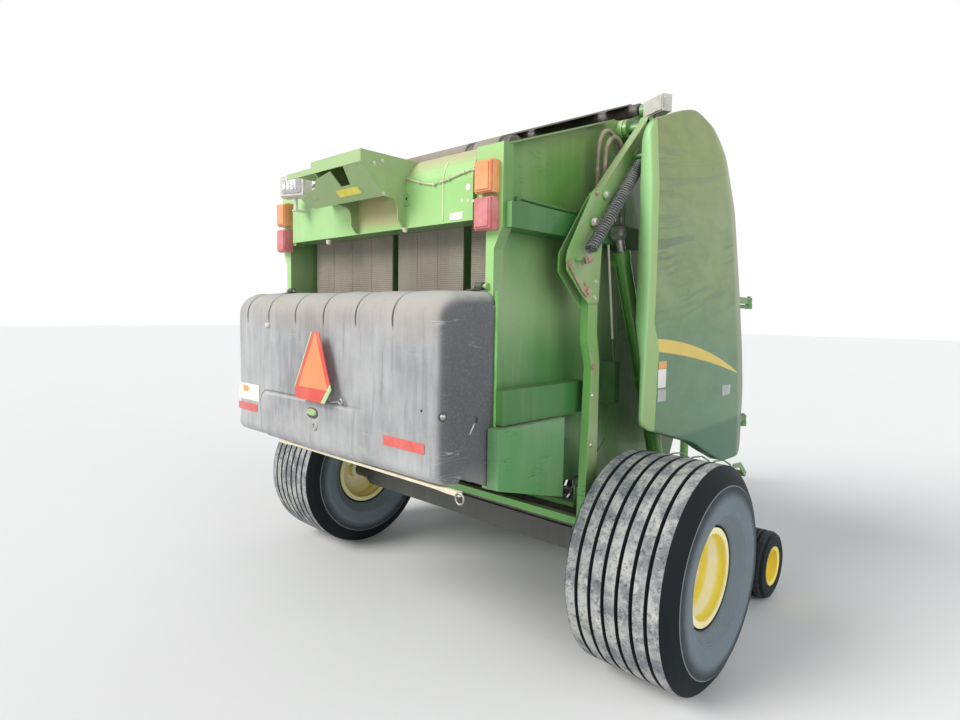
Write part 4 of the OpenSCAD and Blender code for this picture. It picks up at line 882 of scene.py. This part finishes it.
def dressFrame():
    nodeSlots = {entry["node"]: entry["material_slot"] for entry in frame["record"]["subparts"]}
    for name, piece in frame["nodes"].items():
        chosen = nodeFinish.get(name) or slotFinish[nodeSlots[name]]
        piece.data.materials.clear()
        piece.data.materials.append(finish[chosen])


dressFrame()
print("frame dressed")


def at(x, y, z):
    # place given from the axle's middle
    return np.array([x, y + axleY, z])


def both(shape):
    return shape + shape.mirrored()


def prism(outline, x0, x1):
    # side view (y, z) carried across from x0 to x1
    ring = np.array([at(0, y, z) for y, z in outline])
    return skin([ring + np.array([x, 0, 0]) for x in (x0, x1)])


def plates(table):
    # one plate for each row: centre from the axle, right, up, half size, thickness, power, rounded share
    return joined([plaque(at(*row[0]), *row[1:]) for row in table])


rightwards, forwards, upwards = np.eye(3)


springSet = {"x": 1.030, "low": (-0.375, 1.925), "high": (0.128, 2.472), "coil": 0.0245, "wire": 0.0052,
             "turns": 41, "start": 0.058, "eye": 0.0148}


def springShape(s):
    # wire carried along an eye round the low pin, a shank, a helix of constant pitch, a shank and an eye
    low, high = at(s["x"], *s["low"]), at(s["x"], *s["high"])
    length = np.linalg.norm(high - low)
    axis = (high - low) / length
    side = np.array([1.0, 0.0, 0.0])
    back = np.cross(axis, side)
    turn = np.linspace(0, 2 * np.pi * s["turns"], 18 * s["turns"] + 1)
    rise = s["start"] + (length - 2 * s["start"]) * turn / turn[-1]
    ease = np.clip(np.minimum(turn, turn[-1] - turn) / 3.0, 0, 1)
    reach = s["coil"] * ease * ease * (3 - 2 * ease)
    coil = low + np.outer(rise, axis)
    coil = coil + np.outer(reach * np.cos(turn), side) + np.outer(reach * np.sin(turn), back)
    curl = np.linspace(-1.45 * np.pi, 0.0, 18)
    loop = (np.outer(np.sin(curl), back) - np.outer(np.cos(curl), axis)) * s["eye"]
    path = np.vstack([low - loop, coil[4:-4], high + loop[::-1]])
    return pipe(path, s["wire"], 8, up=(1.0, 0.02, 0.01))


springs = place("armSpringCoils", both(springShape(springSet)), "gate", "springSteel")
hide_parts("arm_springs")
print("springs wound")

# net cover: one moulded sheet with a full round at its top edge
coverSet = {"half": 0.854, "front": -0.762, "rear": -1.0735, "top": 1.775, "fall": 0.006, "foot": 0.935,
            "slope": 0.230, "lip": -0.958, "crown": 0.118, "heel": 0.060, "side": 0.066, "wall": 0.005,
            "creaseWide": 0.0065, "creaseDeep": 0.0060, "pillow": 0.0050, "rise": 0.0055, "levels": 34,
            **coverLines}


def coverProfile(s, inset):
    # side view (y, z), drawn inset: top, crown, rear face, heel and lip; every inset has as many points
    crown = (s["rear"] + s["crown"], s["top"] - s["fall"] - s["crown"])
    tilt = math.degrees(math.atan(s["slope"]))
    heelY = s["rear"] + s["heel"]
    heelZ = s["foot"] - s["slope"] * (heelY - s["front"]) + s["heel"] * math.hypot(1, s["slope"])
    rise = inset * math.hypot(1, s["slope"])
    lipZ = s["foot"] - s["slope"] * (s["lip"] - s["front"]) + rise
    top = np.column_stack([np.linspace(s["front"], crown[0], 9)[:-1],
                           np.linspace(s["top"] - inset, s["top"] - s["fall"] - inset, 9)[:-1]])
    rear = np.column_stack([np.full(38, s["rear"] + inset), np.linspace(crown[1], heelZ, 40)[1:-1]])
    heel = bend((heelY, heelZ), s["heel"] - min(inset, s["heel"] * 0.9), 180, 270 - tilt, 12)
    lip = np.linspace(heel[-1], (s["lip"], lipZ), 4)[1:]
    return np.vstack([top, bend(crown, s["crown"] - inset, 90, 180, 18), rear, heel, lip])


def coverRows(s):
    base = coverProfile(s, 0.0)
    # the side's round is full along the top and the rear and shrinks under the heel
    radius = s["side"] * (1 - 0.35 * smoothStep(-base[:, 1], -1.13, -1.03) * (base[:, 0] < -0.9))
    share = np.linspace(0, 1, len(base))
    table = np.array([coverProfile(s, inset) for inset in np.linspace(0, s["side"], s["levels"])])

    def insetBy(amount):
        level = amount / s["side"] * (s["levels"] - 1)
        low = np.minimum(level.astype(int), s["levels"] - 2)
        part = (level - low)[:, None]
        pick = np.arange(len(base))
        return table[low, pick] * (1 - part) + table[low + 1, pick] * part

    wallEdge = insetBy(radius)
    footZ = s["foot"] + 0.004
    frontZ = wallEdge[0, 1] + (footZ - wallEdge[0, 1]) * share
    frontEdge = np.column_stack([np.full(len(base), s["front"]), frontZ])
    wallX = np.full(len(base), s["half"])
    right = [(wallX, frontEdge + (wallEdge - frontEdge) * part) for part in np.linspace(0, 1, 9)[:-1]]
    for angle in np.radians(np.linspace(0, 90, 9))[:-1]:
        right.append((s["half"] - radius * (1 - np.cos(angle)), insetBy(radius * (1 - np.sin(angle)))))
    fine = [crease + side * s["creaseWide"] for crease in s["creases"] for side in np.linspace(-1.5, 1.5, 7)]
    middle = np.unique(np.round(np.concatenate([np.linspace(-0.76, 0.76, 49), fine]), 4))
    middle = middle[np.concatenate([[True], np.diff(middle) > 0.0015])]
    rows = right + [(np.full(len(base), x), base) for x in middle[::-1]] + [(-x, p) for x, p in right[::-1]]
    return np.array([np.column_stack([x, p[:, 0] + axleY, p[:, 1]]) for x, p in rows])


def coverRelief(s, x, y, z):
    # height over the plain sheet: creases down the crown, soft pillows between them, the raised lower panel
    run = smoothStep(z, s["creaseFoot"] - 0.012, s["creaseFoot"] + 0.016) * smoothStep(-y, 0.800, 0.860)
    near = np.min([abs(x - c) for c in s["creases"]], axis=0)
    groove = -s["creaseDeep"] * (1 - smoothStep(near, 0.0, s["creaseWide"])) * run
    ends = np.array((-0.80,) + s["creases"] + (0.80,))
    part = np.interp(x, ends, np.arange(len(ends)))
    pillow = s["pillow"] * np.sin(np.pi * (part - np.floor(part))) ** 0.8 * smoothStep(z, 1.56, 1.70)
    left, top = s["panel"]
    qx, qz = left + s["round"] - x, z - (top - s["round"])
    away = np.hypot(np.maximum(qx, 0), np.maximum(qz, 0)) + np.minimum(np.maximum(qx, qz), 0) - s["round"]
    panel = s["rise"] * (1 - smoothStep(away, -0.012, 0.004)) * (1 - smoothStep(x, 0.12, 0.62))
    wave = 0.0012 * np.sin(3.1 * x + 1.0) * np.sin(7.0 * z) + 0.0008 * np.sin(9.0 * x - 4.0 * z)
    pillow = np.where(near < 0.02, 0.6, 1.0) * pillow * (abs(x) < 0.80)
    return groove + panel * (y < -1.0) + pillow - 0.0018 + wave


def makeCover(s):
    rows = coverRows(s)
    normal = np.cross(np.gradient(rows, axis=0), np.gradient(rows, axis=1))
    normal /= np.maximum(np.linalg.norm(normal, axis=2, keepdims=True), 1e-9)
    if normal[len(rows) // 2, 40, 1] > 0:
        normal = -normal
    relief = coverRelief(s, rows[..., 0], rows[..., 1] - axleY, rows[..., 2])
    moulded = openSheet(rows + normal * relief[..., None], (0, -1, 0))
    sheet = place("coverSheet", moulded, "net_lid", "coverPlastic")
    thicken(sheet, s["wall"])
    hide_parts("net_cover")


makeCover(coverSet)


eyeSet = {"x": 0.767, "pin": (-0.768, 1.795), "half": 0.020, "bore": 0.0085, "reach": 0.017,
          "foot": [(-0.832, 1.7745), (-0.784, 1.7745), (-0.783, 1.787), (-0.832, 1.780)]}


def coverEyes(s):
    ring = tubeRing(at(s["x"], *s["pin"]), (1, 0, 0), s["bore"], s["reach"], s["half"])
    return both(ring + prism(s["foot"], s["x"] - s["half"], s["x"] + s["half"]))


place("coverEyes", coverEyes(eyeSet), "net_lid", "guardPlastic")
print("cover moulded")

# shields: outline in side view (y, z, cut at the corner), the face's rear border, and the hinge's two arms
shieldForm = {
    "outline": [(-0.006, 1.135, 0.060), (-0.006, 2.590, 0.060), (0.301, 2.709, 0.060), (0.500, 2.768, 0.090),
                (0.800, 2.700, 0.090), (0.900, 2.580, 0.060), (1.000, 2.330, 0.080), (1.155, 1.785, 0.080),
                (1.285, 1.250, 0.080), (1.305, 0.960, 0.080), (1.290, 0.805, 0.075), (0.980, 0.815, 0.060),
                (0.700, 0.925, 0.060), (0.560, 0.990, 0.050), (0.200, 1.085, 0.050)],
    "face": 1.162, "corner": 0.017, "frontDrop": 0.014, "frontWide": 0.120, "inner": 1.090, "wall": 0.004,
    "flange": ([1.45, 1.65, 2.50, 2.60], [1.115, 1.082, 1.082, 1.105]),
    "lean": ([0.70, 1.50, 2.30, 2.60, 2.80], [-0.014, 0.0, 0.0, -0.022, -0.050]),
    "border": ([1.20, 1.45, 1.60, 1.70], [0.092, 0.090, 0.060, 0.032]),
    "front": ([0.90, 1.25, 1.785, 2.33, 2.58, 2.70], [1.305, 1.285, 1.155, 1.000, 0.900, 0.800]),
    "middle": (0.560, 1.760), "hinge": (1.132, 1.340), "armFeet": {1.0: 1.215, 1.75: 1.050},
    "knuckle": (0.0105, 0.020, 0.020), "arm": (0.016, 0.056, 0.008)}


def shieldFace(s, y, z):
    # place across of the face: leaning at shoulder and foot, chamfered to the rear, eased to the front
    border = np.interp(z, *s["border"])
    rear = s["corner"] * np.clip(1 - (y + 0.006) / (border + 0.006), 0, 1)
    front = s["frontDrop"] * np.clip(1 - (np.interp(z, *s["front"]) - y) / s["frontWide"], 0, 1) ** 1.3
    wave = 0.0012 * np.sin(5.0 * y + 1.0) * np.sin(4.0 * z + 0.6) + 0.0006 * np.sin(13.0 * y - 6.0 * z)
    return s["face"] + np.interp(z, *s["lean"]) - rear - front - 0.0015 + wave


def shieldShape(s):
    outline = evenly(rounded(s["outline"]), 240)
    along = np.roll(outline, -1, 0) - np.roll(outline, 1, 0)
    along /= np.linalg.norm(along, axis=1)[:, None]
    inward = np.column_stack([along[:, 1], -along[:, 0]])
    middle = np.array(s["middle"])
    if ((middle - outline) * inward).sum() < 0:
        inward = -inward
    rear = 1 - smoothStep(outline[:, 0], 0.10, 0.45)
    inner = s["inner"] + (np.interp(outline[:, 1], *s["flange"]) - s["inner"]) * rear
    edge = shieldFace(s, outline[:, 0], outline[:, 1])
    rows = [(inner, outline), (edge - 0.006, outline)]
    for depth in (0.0012, 0.004, 0.010, 0.018, 0.027, 0.036, 0.040):
        inset = outline + inward * depth
        drop = 0.006 * (1 - math.sqrt(1 - max(1 - depth / 0.010, 0) ** 2))
        rows.append((shieldFace(s, inset[:, 0], inset[:, 1]) - drop, inset))
    last = rows[-1][1]
    for scale in np.concatenate([np.linspace(0.98, 0.72, 14), np.linspace(0.62, 0.05, 7)]):
        inset = middle + (last - middle) * scale
        rows.append((shieldFace(s, inset[:, 0], inset[:, 1]), inset))
    grid = np.array([np.column_stack([x, p[:, 0] + axleY, p[:, 1]]) for x, p in rows])
    return openSheet(grid, (1, 0, 0), loop=True, cap=True)


def shieldHinges(s):
    # at each height a knuckle on the hinge pin, and a flat arm from it back to the sheet
    x, y = s["hinge"]
    low, high, half = s["arm"]
    parts = []
    for z, foot in s["armFeet"].items():
        parts.append(tubeRing(at(x, y, z + (low + high) / 2), (0, 0, 1), *s["knuckle"]))
        outline = [(foot, z + low), (y - 0.018, z + low), (y - 0.018, z + high), (foot, z + high)]
        parts.append(prism(outline, x - half, x + half))
    return joined(parts)


def makeShields(s):
    shell, hinges = shieldShape(s), shieldHinges(s)
    for side, body in (("Right", "shield_right"), ("Left", "shield_left")):
        if side == "Left":
            shell, hinges = shell.mirrored(), hinges.mirrored()
        sheet = place("shieldSheet" + side, shell, body, "shieldPaint")
        thicken(sheet, s["wall"])
        place("shieldHinge" + side, hinges, body, "greenPaint", smooth=False, bevel=0.0015)
        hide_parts("side_shield_" + side.lower())


makeShields(shieldForm)
print("shields pressed")

# rims: a stepped sleeve inside each barrel; the section (radius, height) starts at the outer lip
rimSteps = [(0.2030, 0.2070), (0.1950, 0.2040), (0.1935, 0.1780), (0.1860, 0.1680), (0.1850, 0.1300),
            (0.1760, 0.1180), (0.1740, 0.0820), (0.1900, 0.0640), (0.1945, -0.0600), (0.1975, -0.0600),
            (0.1975, 0.1990), (0.2030, 0.2000)]
for side, sign in (("right", 1.0), ("left", -1.0)):
    sleeve = turned(rimSteps, (sign * mainHub[0], mainHub[1], mainHub[2]), (sign, 0.0, 0.0), 72)
    place("rimSleeve" + side.title(), sleeve, "wheel_" + side, "wheelYellow")
print("rims stepped")

# rear arms: plates in side view (y, z), each carried across between two places
armForm = {
    "lower": [(-0.252, 1.930), (-0.252, 1.560), (-0.212, 1.440), (-0.225, 1.090), (-0.242, 0.620),
              (-0.088, 0.620), (-0.084, 0.690), (-0.138, 0.740), (-0.142, 1.080), (-0.145, 1.460),
              (-0.175, 1.600), (-0.180, 1.930)],
    "near": [(-0.248, 2.249), (-0.340, 2.112), (-0.437, 1.963), (-0.446, 1.924), (-0.441, 1.876),
             (-0.322, 1.771), (-0.265, 1.732), (-0.182, 1.737), (-0.165, 2.019), (-0.150, 2.119),
             (-0.095, 2.273), (-0.174, 2.278)],
    "far": [(-0.210, 2.235), (-0.297, 2.125), (-0.430, 1.955), (-0.434, 1.872), (-0.262, 1.713),
            (-0.182, 1.735), (-0.150, 2.119), (-0.100, 2.250)],
    "tube": (0.930, 0.975), "plate": 0.008, "hinge": (0.280, 2.660), "knuckle": (0.0251, 0.048, 0.0225),
    "bars": [((-0.250, 1.880), (-0.165, 2.240), 0.090), ((-0.190, 2.190), (0.280, 2.660), 0.086)],
    "ear": ((0.160, 2.500), (0.122, 2.464), 0.040),
    "pins": [(-0.375, 1.925), (0.128, 2.472)], "pinSize": (0.010, 0.069),
    "bosses": [(-0.255, 2.103), (-0.160, 2.239)], "bossSize": (0.022, 0.012),
    "crossBar": [(-0.228, 0.664), (-0.190, 0.664), (-0.190, 0.702), (-0.228, 0.702)]}


def ribbon(start, end, width):
    # outline of a straight bar between two points of the side view
    start, end = np.array(start), np.array(end)
    along = (end - start) / np.linalg.norm(end - start)
    half = np.array([-along[1], along[0]]) * width / 2
    return [start + half, start - half, end - half, end + half]


def rodShape(centre, direction, radius, length):
    return lathe([(radius, 0.0), (radius, length * 0.9), (radius * 0.9, length)], centre, direction, 24)


def armShape(s):
    inner, outer = s["tube"]
    face = outer + s["plate"]
    parts = [prism(s["lower"], inner, outer), prism(s["far"], inner - s["plate"], inner)
             + prism(s["near"], outer, face)]
    parts += [prism(ribbon(*bar), inner, outer) for bar in s["bars"]]
    parts.append(prism(ribbon(*s["ear"]), outer, face))
    parts.append(tubeRing(at((inner + outer) / 2, *s["hinge"]), (1, 0, 0), *s["knuckle"]))
    parts += [rodShape(at(face, *pin), (1, 0, 0), *s["pinSize"]) for pin in s["pins"]]
    parts += [rodShape(at(face, *boss), (1, 0, 0), *s["bossSize"]) for boss in s["bosses"]]
    return both(joined(parts)) + prism(s["crossBar"], -inner, inner)


arms = place("armPlates", armShape(armForm), "gate", "limePaint", smooth=False, bevel=0.0015)
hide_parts("rear_arms")
print("arms cut")

boltSet = {"washer": 1.35, "washerHigh": 0.10, "headHigh": 0.62}


def bolt(centre, direction, radius, s=boltSet):
    # washer, six-sided head and domed top as one profile turned about the bolt
    r = radius
    profile = [(0.75 * r, 0.0), (s["washer"] * r, 0.0), (s["washer"] * r, s["washerHigh"] * r),
               (r, s["washerHigh"] * r, 1), (r, s["headHigh"] * r, 1), (0.80 * r, (s["headHigh"] + 0.12) * r),
               (0.20 * r, (s["headHigh"] + 0.14) * r)]
    return lathe(profile, centre, direction, 24, 6)


def boltField(table, direction=(1, 0, 0)):
    return joined([bolt(at(x, y, z), direction, radius) for x, y, z, radius in table])


# name: finish, then x, y, z from the axle and head radius of each bolt
armBoltSet = {
    "armBolts": ("zincBolt", [(0.995, -0.255, 2.103, 0.019), (0.995, -0.160, 2.239, 0.015),
                              (0.983, -0.215, 1.760, 0.010), (0.983, -0.208, 1.835, 0.009),
                              (0.975, -0.200, 1.300, 0.008), (0.975, -0.200, 1.060, 0.008)]),
    "springPinNuts": ("rustPin", [(1.048, -0.375, 1.925, 0.017), (1.048, 0.128, 2.472, 0.015)]),
    "armRustBolts": ("rustPin", [(0.983, -0.428, 1.903, 0.015), (0.983, -0.325, 1.918, 0.013),
                                 (0.983, -0.278, 1.790, 0.017), (0.983, -0.225, 2.240, 0.012),
                                 (0.975, -0.200, 1.434, 0.014), (0.983, -0.300, 1.822, 0.009)])}
linkSet = {"path": [(0.990, -0.436, 1.895), (0.989, -0.395, 1.855), (0.989, -0.330, 1.792),
                    (0.990, -0.290, 1.765)], "radius": 0.0050}
for name, (finishName, table) in armBoltSet.items():
    place(name, both(boltField(table)), "gate", finishName)
rustLink = pipe([at(*point) for point in linkSet["path"]], linkSet["radius"], 8)
place("armRustLink", both(rustLink), "gate", "rustPin")
print("bolts set")

# blank labels and reflective tapes: thin plates with rounded corners on the face that carries them
tapeSet = {"face": -1.0735, "half": 0.021, "z": 1.141, "spans": [(0.504, 0.766), (-0.827, -0.610)]}


def tapes(s):
    # one strip for each span across, from its left end to its right
    return plates([(((left + right) / 2, s["face"], s["z"]), rightwards, upwards,
                    ((right - left) / 2, s["half"]), 0.0012, 30.0) for left, right in s["spans"]])


place("coverTapes", tapes(tapeSet), "net_lid", "tapeRed", smooth=False)
labelSet = {
    # name: centre, right, half size, body, finish; on the shield the centre's x is the face's
    "coverLabel": ((-0.700, -1.0735, 1.225), rightwards, (0.118, 0.046), "net_lid", "labelWhite"),
    "coverLabelPatch": ((-0.735, -1.0745, 1.242), rightwards, (0.030, 0.016), "net_lid", "labelOrange"),
    "panelLabel": ((0.631, -0.7806, 2.099), rightwards, (0.040, 0.016), "gate", "labelWhite"),
    "shieldLabelWhite": ((0.0, 0.135, 1.375), forwards, (0.042, 0.046), "shield_right", "labelWhite"),
    "shieldLabelOrange": ((0.0, 0.135, 1.442), forwards, (0.042, 0.018), "shield_right", "labelOrange"),
    "shieldLabelGrey": ((0.0, 0.141, 1.290), forwards, (0.044, 0.030), "shield_right", "labelGrey"),
    "shieldLabelFront": ((0.0, 0.970, 1.250), forwards, (0.060, 0.030), "shield_right", "labelGrey"),
}
labelForm = {"thick": 0.0010, "power": 24.0, "seat": 0.0010}


def layLabels(table, form):
    for name, (centre, right, half, body, finishName) in table.items():
        if body == "shield_right":
            centre = (shieldFace(shieldForm, centre[1], centre[2]) + form["seat"],) + centre[1:]
        label = plaque(at(*centre), right, upwards, half, form["thick"], form["power"])
        place(name, label, body, finishName, smooth=False)


layLabels(labelSet, labelForm)

# the visor's label: down its slope (y, z) from the visor's top edge, and a little off its face
visorLabelSet = {"edge": (0.068, -1.036, 2.340), "slope": (0.129, -0.132), "down": 0.132, "off": 0.0008,
                 "half": (0.090, 0.019)}


def visorLabel(s, form):
    run, fall = np.array(s["slope"]) / math.hypot(*s["slope"])
    slopeDown, slopeOut = np.array([0.0, run, fall]), np.array([0.0, fall, -run])
    centre = at(*s["edge"]) + slopeDown * s["down"] + slopeOut * s["off"]
    return plaque(centre, rightwards, -slopeDown, s["half"], form["thick"], form["power"])


place("visorLabel", visorLabel(visorLabelSet, labelForm), "gate", "labelYellow", smooth=False)

# work lamps: a ribbed lens on each housing; x, y, z, turn about z, distance ahead, half size, body
workLampSet = {"rear": (-0.570, -0.850, 2.362, 20.0, 0.0380, (0.066, 0.040), "gate"),
               "side": (1.000, 0.350, 2.770, -25.0, 0.0360, (0.060, 0.029), "chassis")}
for name, (x, y, z, turn, ahead, half, body) in workLampSet.items():
    cosTurn, sinTurn = math.cos(math.radians(turn)), math.sin(math.radians(turn))
    right, face = np.array([cosTurn, sinTurn, 0.0]), np.array([sinTurn, -cosTurn, 0.0])
    lens = plaque(at(x, y, z) + face * ahead, right, upwards, half, 0.004, 8.0, 0.5)
    for step in (-0.6, -0.2, 0.2, 0.6):
        bar = at(x, y, z) + face * (ahead + 0.003) + right * half[0] * step
        lens += plaque(bar, right, upwards, (0.004, half[1] * 0.8), 0.0025, 4.0, 0.5)
    place("workLens" + name.title(), lens, body, "lampGlass")
print("labels and tapes laid")

# net cover's trim: strip along the lower edge with pads at its ends, and the pull ring
stripSet = {"y": -1.030, "z": 0.987, "from": -0.440, "to": 0.930, "thick": 0.010, "pad": 0.100}


def coverStrip(s):
    # long flat bar whose half height swells near both ends
    x = np.linspace(s["from"], s["to"], 60)
    near = np.minimum(x - s["from"], s["to"] - x) / s["pad"]
    swell = np.clip(1.6 - near, 0, 1)
    half = s["thick"] * (0.62 + 0.42 * swell * swell * (3 - 2 * swell))
    corner = np.array([[-1, -1], [1, -1], [1, 1], [-1, 1]], float)
    rings = np.empty((len(x), 4, 3))
    rings[:, :, 0] = x[:, None]
    rings[:, :, 1] = s["y"] + axleY + corner[None, :, 0] * s["thick"] * 0.9
    rings[:, :, 2] = s["z"] + corner[None, :, 1] * half[:, None]
    return skin(rings)


place("coverStrip", coverStrip(stripSet), "net_lid", "creamPaint", smooth=False, bevel=0.002)
# name: centre, radius and wire's radius of each ring
ringSet = {"pull": ((0.935, -1.042, 0.974), 0.022, 0.0035), "pin": ((0.216, -1.0920, 1.272), 0.012, 0.0042),
           "latch": ((-0.017, -1.0800, 1.126), 0.017, 0.0050)}


def ringShape(centre, radius, wire):
    # torus: a small circle carried round a larger one
    turn = np.linspace(0, 2 * np.pi, 41)[:-1]
    out = np.outer(np.cos(turn), rightwards) + np.outer(np.sin(turn), upwards)
    small = np.linspace(0, 2 * np.pi, 10, endpoint=False)[None, :, None]
    loop = at(*centre) + out * radius
    rings = loop[:, None] + wire * (np.cos(small) * out[:, None] + np.sin(small) * forwards)
    return Shape(rings.reshape(-1, 3), asFaces(gridQuads(rings)[1]))


place("pullRing", ringShape(*ringSet["pull"]), "net_lid", "bareSteel")

# latch, its seat, the holes as dark plates of painted shade, and the fittings; rows as plates() reads them
tilted = forwards * 0.55 + upwards * 0.835
coverPlates = {
    "latch": ((-0.043, -1.0775, 1.191), rightwards, upwards, (0.040, 0.017), 0.010, 2.6, 0.5),
    "latchSeat": ((-0.040, -1.0762, 1.187), rightwards, upwards, (0.050, 0.027), 0.004, 2.4, 0.4),
    "wallHole": ((0.8518, -0.866, 1.246), forwards, upwards, (0.007, 0.013), 0.0012, 2.2),
    "rearHole": ((0.746, -1.0722, 1.293), rightwards, upwards, (0.006, 0.006), 0.0010, 2.0),
    "fitting": ((-0.478, -1.0725, 1.602), rightwards, upwards, (0.019, 0.012), 0.012, 3.0, 0.4),
    "scrape": ((0.8519, -0.892, 1.212), np.cross(tilted, rightwards), tilted, (0.0035, 0.026), 0.0010, 2.4)}
knobSet = {"corner": (0.788, -1.0075, 1.277), "way": np.array([0.812, -0.583, 0.0]), "out": 0.0645,
           "head": [(0.011, 0.0), (0.011, 0.006), (0.007, 0.010), (0.003, 0.011)],
           "rim": [(0.018, -0.001), (0.018, 0.002), (0.014, 0.004)]}
signPinSet = {"path": [(0.135, -1.0900, 1.262), (0.170, -1.0900, 1.266), (0.206, -1.0900, 1.271)],
              "radius": 0.0055}
edgeStripSet = {"outline": [(-0.767, 1.000), (-0.754, 1.000), (-0.754, 1.775), (-0.767, 1.775)],
                "across": (0.8525, 0.8590)}


def coverPlate(*names):
    return plates([coverPlates[name] for name in names])


knobSeat = at(*knobSet["corner"]) + knobSet["way"] * knobSet["out"]
knob = lathe(knobSet["head"], knobSeat, knobSet["way"], 20)
knobRim = lathe(knobSet["rim"], knobSeat, knobSet["way"], 24)
signPin = pipe([at(*point) for point in signPinSet["path"]], signPinSet["radius"], 10)
smallSteel = [ringShape(*ringSet["latch"]), ringShape(*ringSet["pin"]), signPin, knob]
edgeStrips = both(prism(edgeStripSet["outline"], *edgeStripSet["across"]))
place("coverLatch", coverPlate("latch"), "net_lid", "visorPaint")
place("coverLatchSeat", coverPlate("latchSeat") + knobRim, "net_lid", "guardPlastic")
place("coverRings", joined(smallSteel), "net_lid", "bareSteel")
place("coverHoles", coverPlate("wallHole", "rearHole"), "net_lid", "paintedShadeHole")
place("coverFitting", coverPlate("fitting", "scrape"), "net_lid", "lampWhite")
place("coverEdgeStrips", edgeStrips, "net_lid", "edgePaint", smooth=False, bevel=0.001)
print("cover trimmed")

# rear panel's trim: its face is upright to the bend and rolled forward above it
panelSet = {"bend": 2.252, "roll": 0.16, "axis": -0.620,
            "seam": (0.548, 2.088, 2.345), "seamRadius": 0.0045,
            "holes": [(0.700, 2.214, 0.014), (0.665, 2.161, 0.006), (0.701, 2.157, 0.006),
                      (0.731, 2.153, 0.006)],
            "eye": (0.304, 2.205), "eyeHole": (0.304, 2.210),
            "buffers": [(-0.368, 2.042), (0.280, 2.057), (0.756, 2.053)],
            "bufferY": -0.772, "bufferHigh": 0.024,
            "buffer": [(0.013, 0.0), (0.014, 0.010), (0.011, 0.022), (0.006, 0.024)],
            "visorBolts": [(0.2905, -0.964, 2.342, 0.007), (0.2905, -0.916, 2.360, 0.007),
                           (0.2905, -0.908, 2.216, 0.007)]}


def panelFace(z, s=panelSet):
    return s["axis"] - math.sqrt(max(s["roll"] ** 2 - max(z - s["bend"], 0.0) ** 2, 0.0))


def trimPanel(s):
    x, low, high = s["seam"]
    seamPath = [at(x, panelFace(z) - 0.001, z) for z in np.linspace(low, high, 14)]
    seam = pipe(seamPath, s["seamRadius"], 8, (1, 0, 0))
    holes = [((x, panelFace(z) + 0.0002, z), rightwards, upwards, (size, size), 0.0010, 2.0)
             for x, z, size in s["holes"]]
    x, z = s["eye"]
    eyePad = plaque(at(x, panelFace(z), z), rightwards, upwards, (0.016, 0.030), 0.006, 3.0, 0.4)
    # the eye's hole is a dark plate: painted shade
    eyePlace = at(s["eyeHole"][0], panelFace(z) - 0.0055, s["eyeHole"][1])
    eyeHole = plaque(eyePlace, rightwards, upwards, (0.006, 0.007), 0.0012, 2.0)
    buffers = [lathe(s["buffer"], at(x, s["bufferY"], z + s["bufferHigh"]), (0, 0, -1), 20)
               for x, z in s["buffers"]]
    place("panelSeam", seam, "gate", "seamPaint")
    place("panelHoles", plates(holes), "gate", "labelWhite")
    place("panelEye", eyePad, "gate", "limePaint")
    place("panelBuffers", joined(buffers), "gate", "creamPaint")
    place("panelEyeHole", eyeHole, "gate", "paintedShadeHole")
    place("visorBolts", boltField(s["visorBolts"]), "gate", "zincBolt")


trimPanel(panelSet)
print("panel trimmed")

# hoses: the same route points as the part's source, in metres from the axle
hoseSet = {
    "radius": 0.011, "sides": 14,
    "routes": {
        "hose_rear": [(0.878, -0.054, 2.1806), (0.877, -0.056, 2.260), (0.875, -0.058, 2.350),
                      (0.874, -0.059, 2.430), (0.875, -0.052, 2.510), (0.877, -0.024, 2.568),
                      (0.879, 0.028, 2.592), (0.881, 0.082, 2.570), (0.883, 0.112, 2.512),
                      (0.884, 0.120, 2.430), (0.884, 0.119, 2.350), (0.882, 0.116, 2.260),
                      (0.880, 0.114, 2.1806)],
        "hose_front": [(0.904, -0.030, 2.1806), (0.903, -0.032, 2.255), (0.902, -0.034, 2.340),
                       (0.901, -0.034, 2.415), (0.902, -0.026, 2.490), (0.904, 0.004, 2.540),
                       (0.906, 0.050, 2.560), (0.908, 0.096, 2.540), (0.910, 0.124, 2.486),
                       (0.911, 0.132, 2.415), (0.911, 0.131, 2.340), (0.909, 0.128, 2.255),
                       (0.906, 0.126, 2.1806)]}}


def layHoses(s):
    for node, route in s["routes"].items():
        path = smoothPath([at(*point) for point in route])
        shape = pipe(path, s["radius"], s["sides"], up=(1.0, 0.0, 0.0))
        tube = place(node + "Tube", shape, "gate", "hoseRubber")
        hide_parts(node)


layHoses(hoseSet)
print("hoses laid")


def makeFloor(reach=60.0):
    corners = [(-reach, -reach, 0), (reach, -reach, 0), (reach, reach, 0), (-reach, reach, 0)]
    floorMesh = bpy.data.meshes.new("floorSheet")
    floorMesh.from_pydata(corners, [], [(0, 1, 2, 3)])
    floorMesh.materials.append(makeFloorFinish())
    floor = bpy.data.objects.new("floorSheet", floorMesh)
    bpy.context.scene.collection.objects.link(floor)


makeFloor()
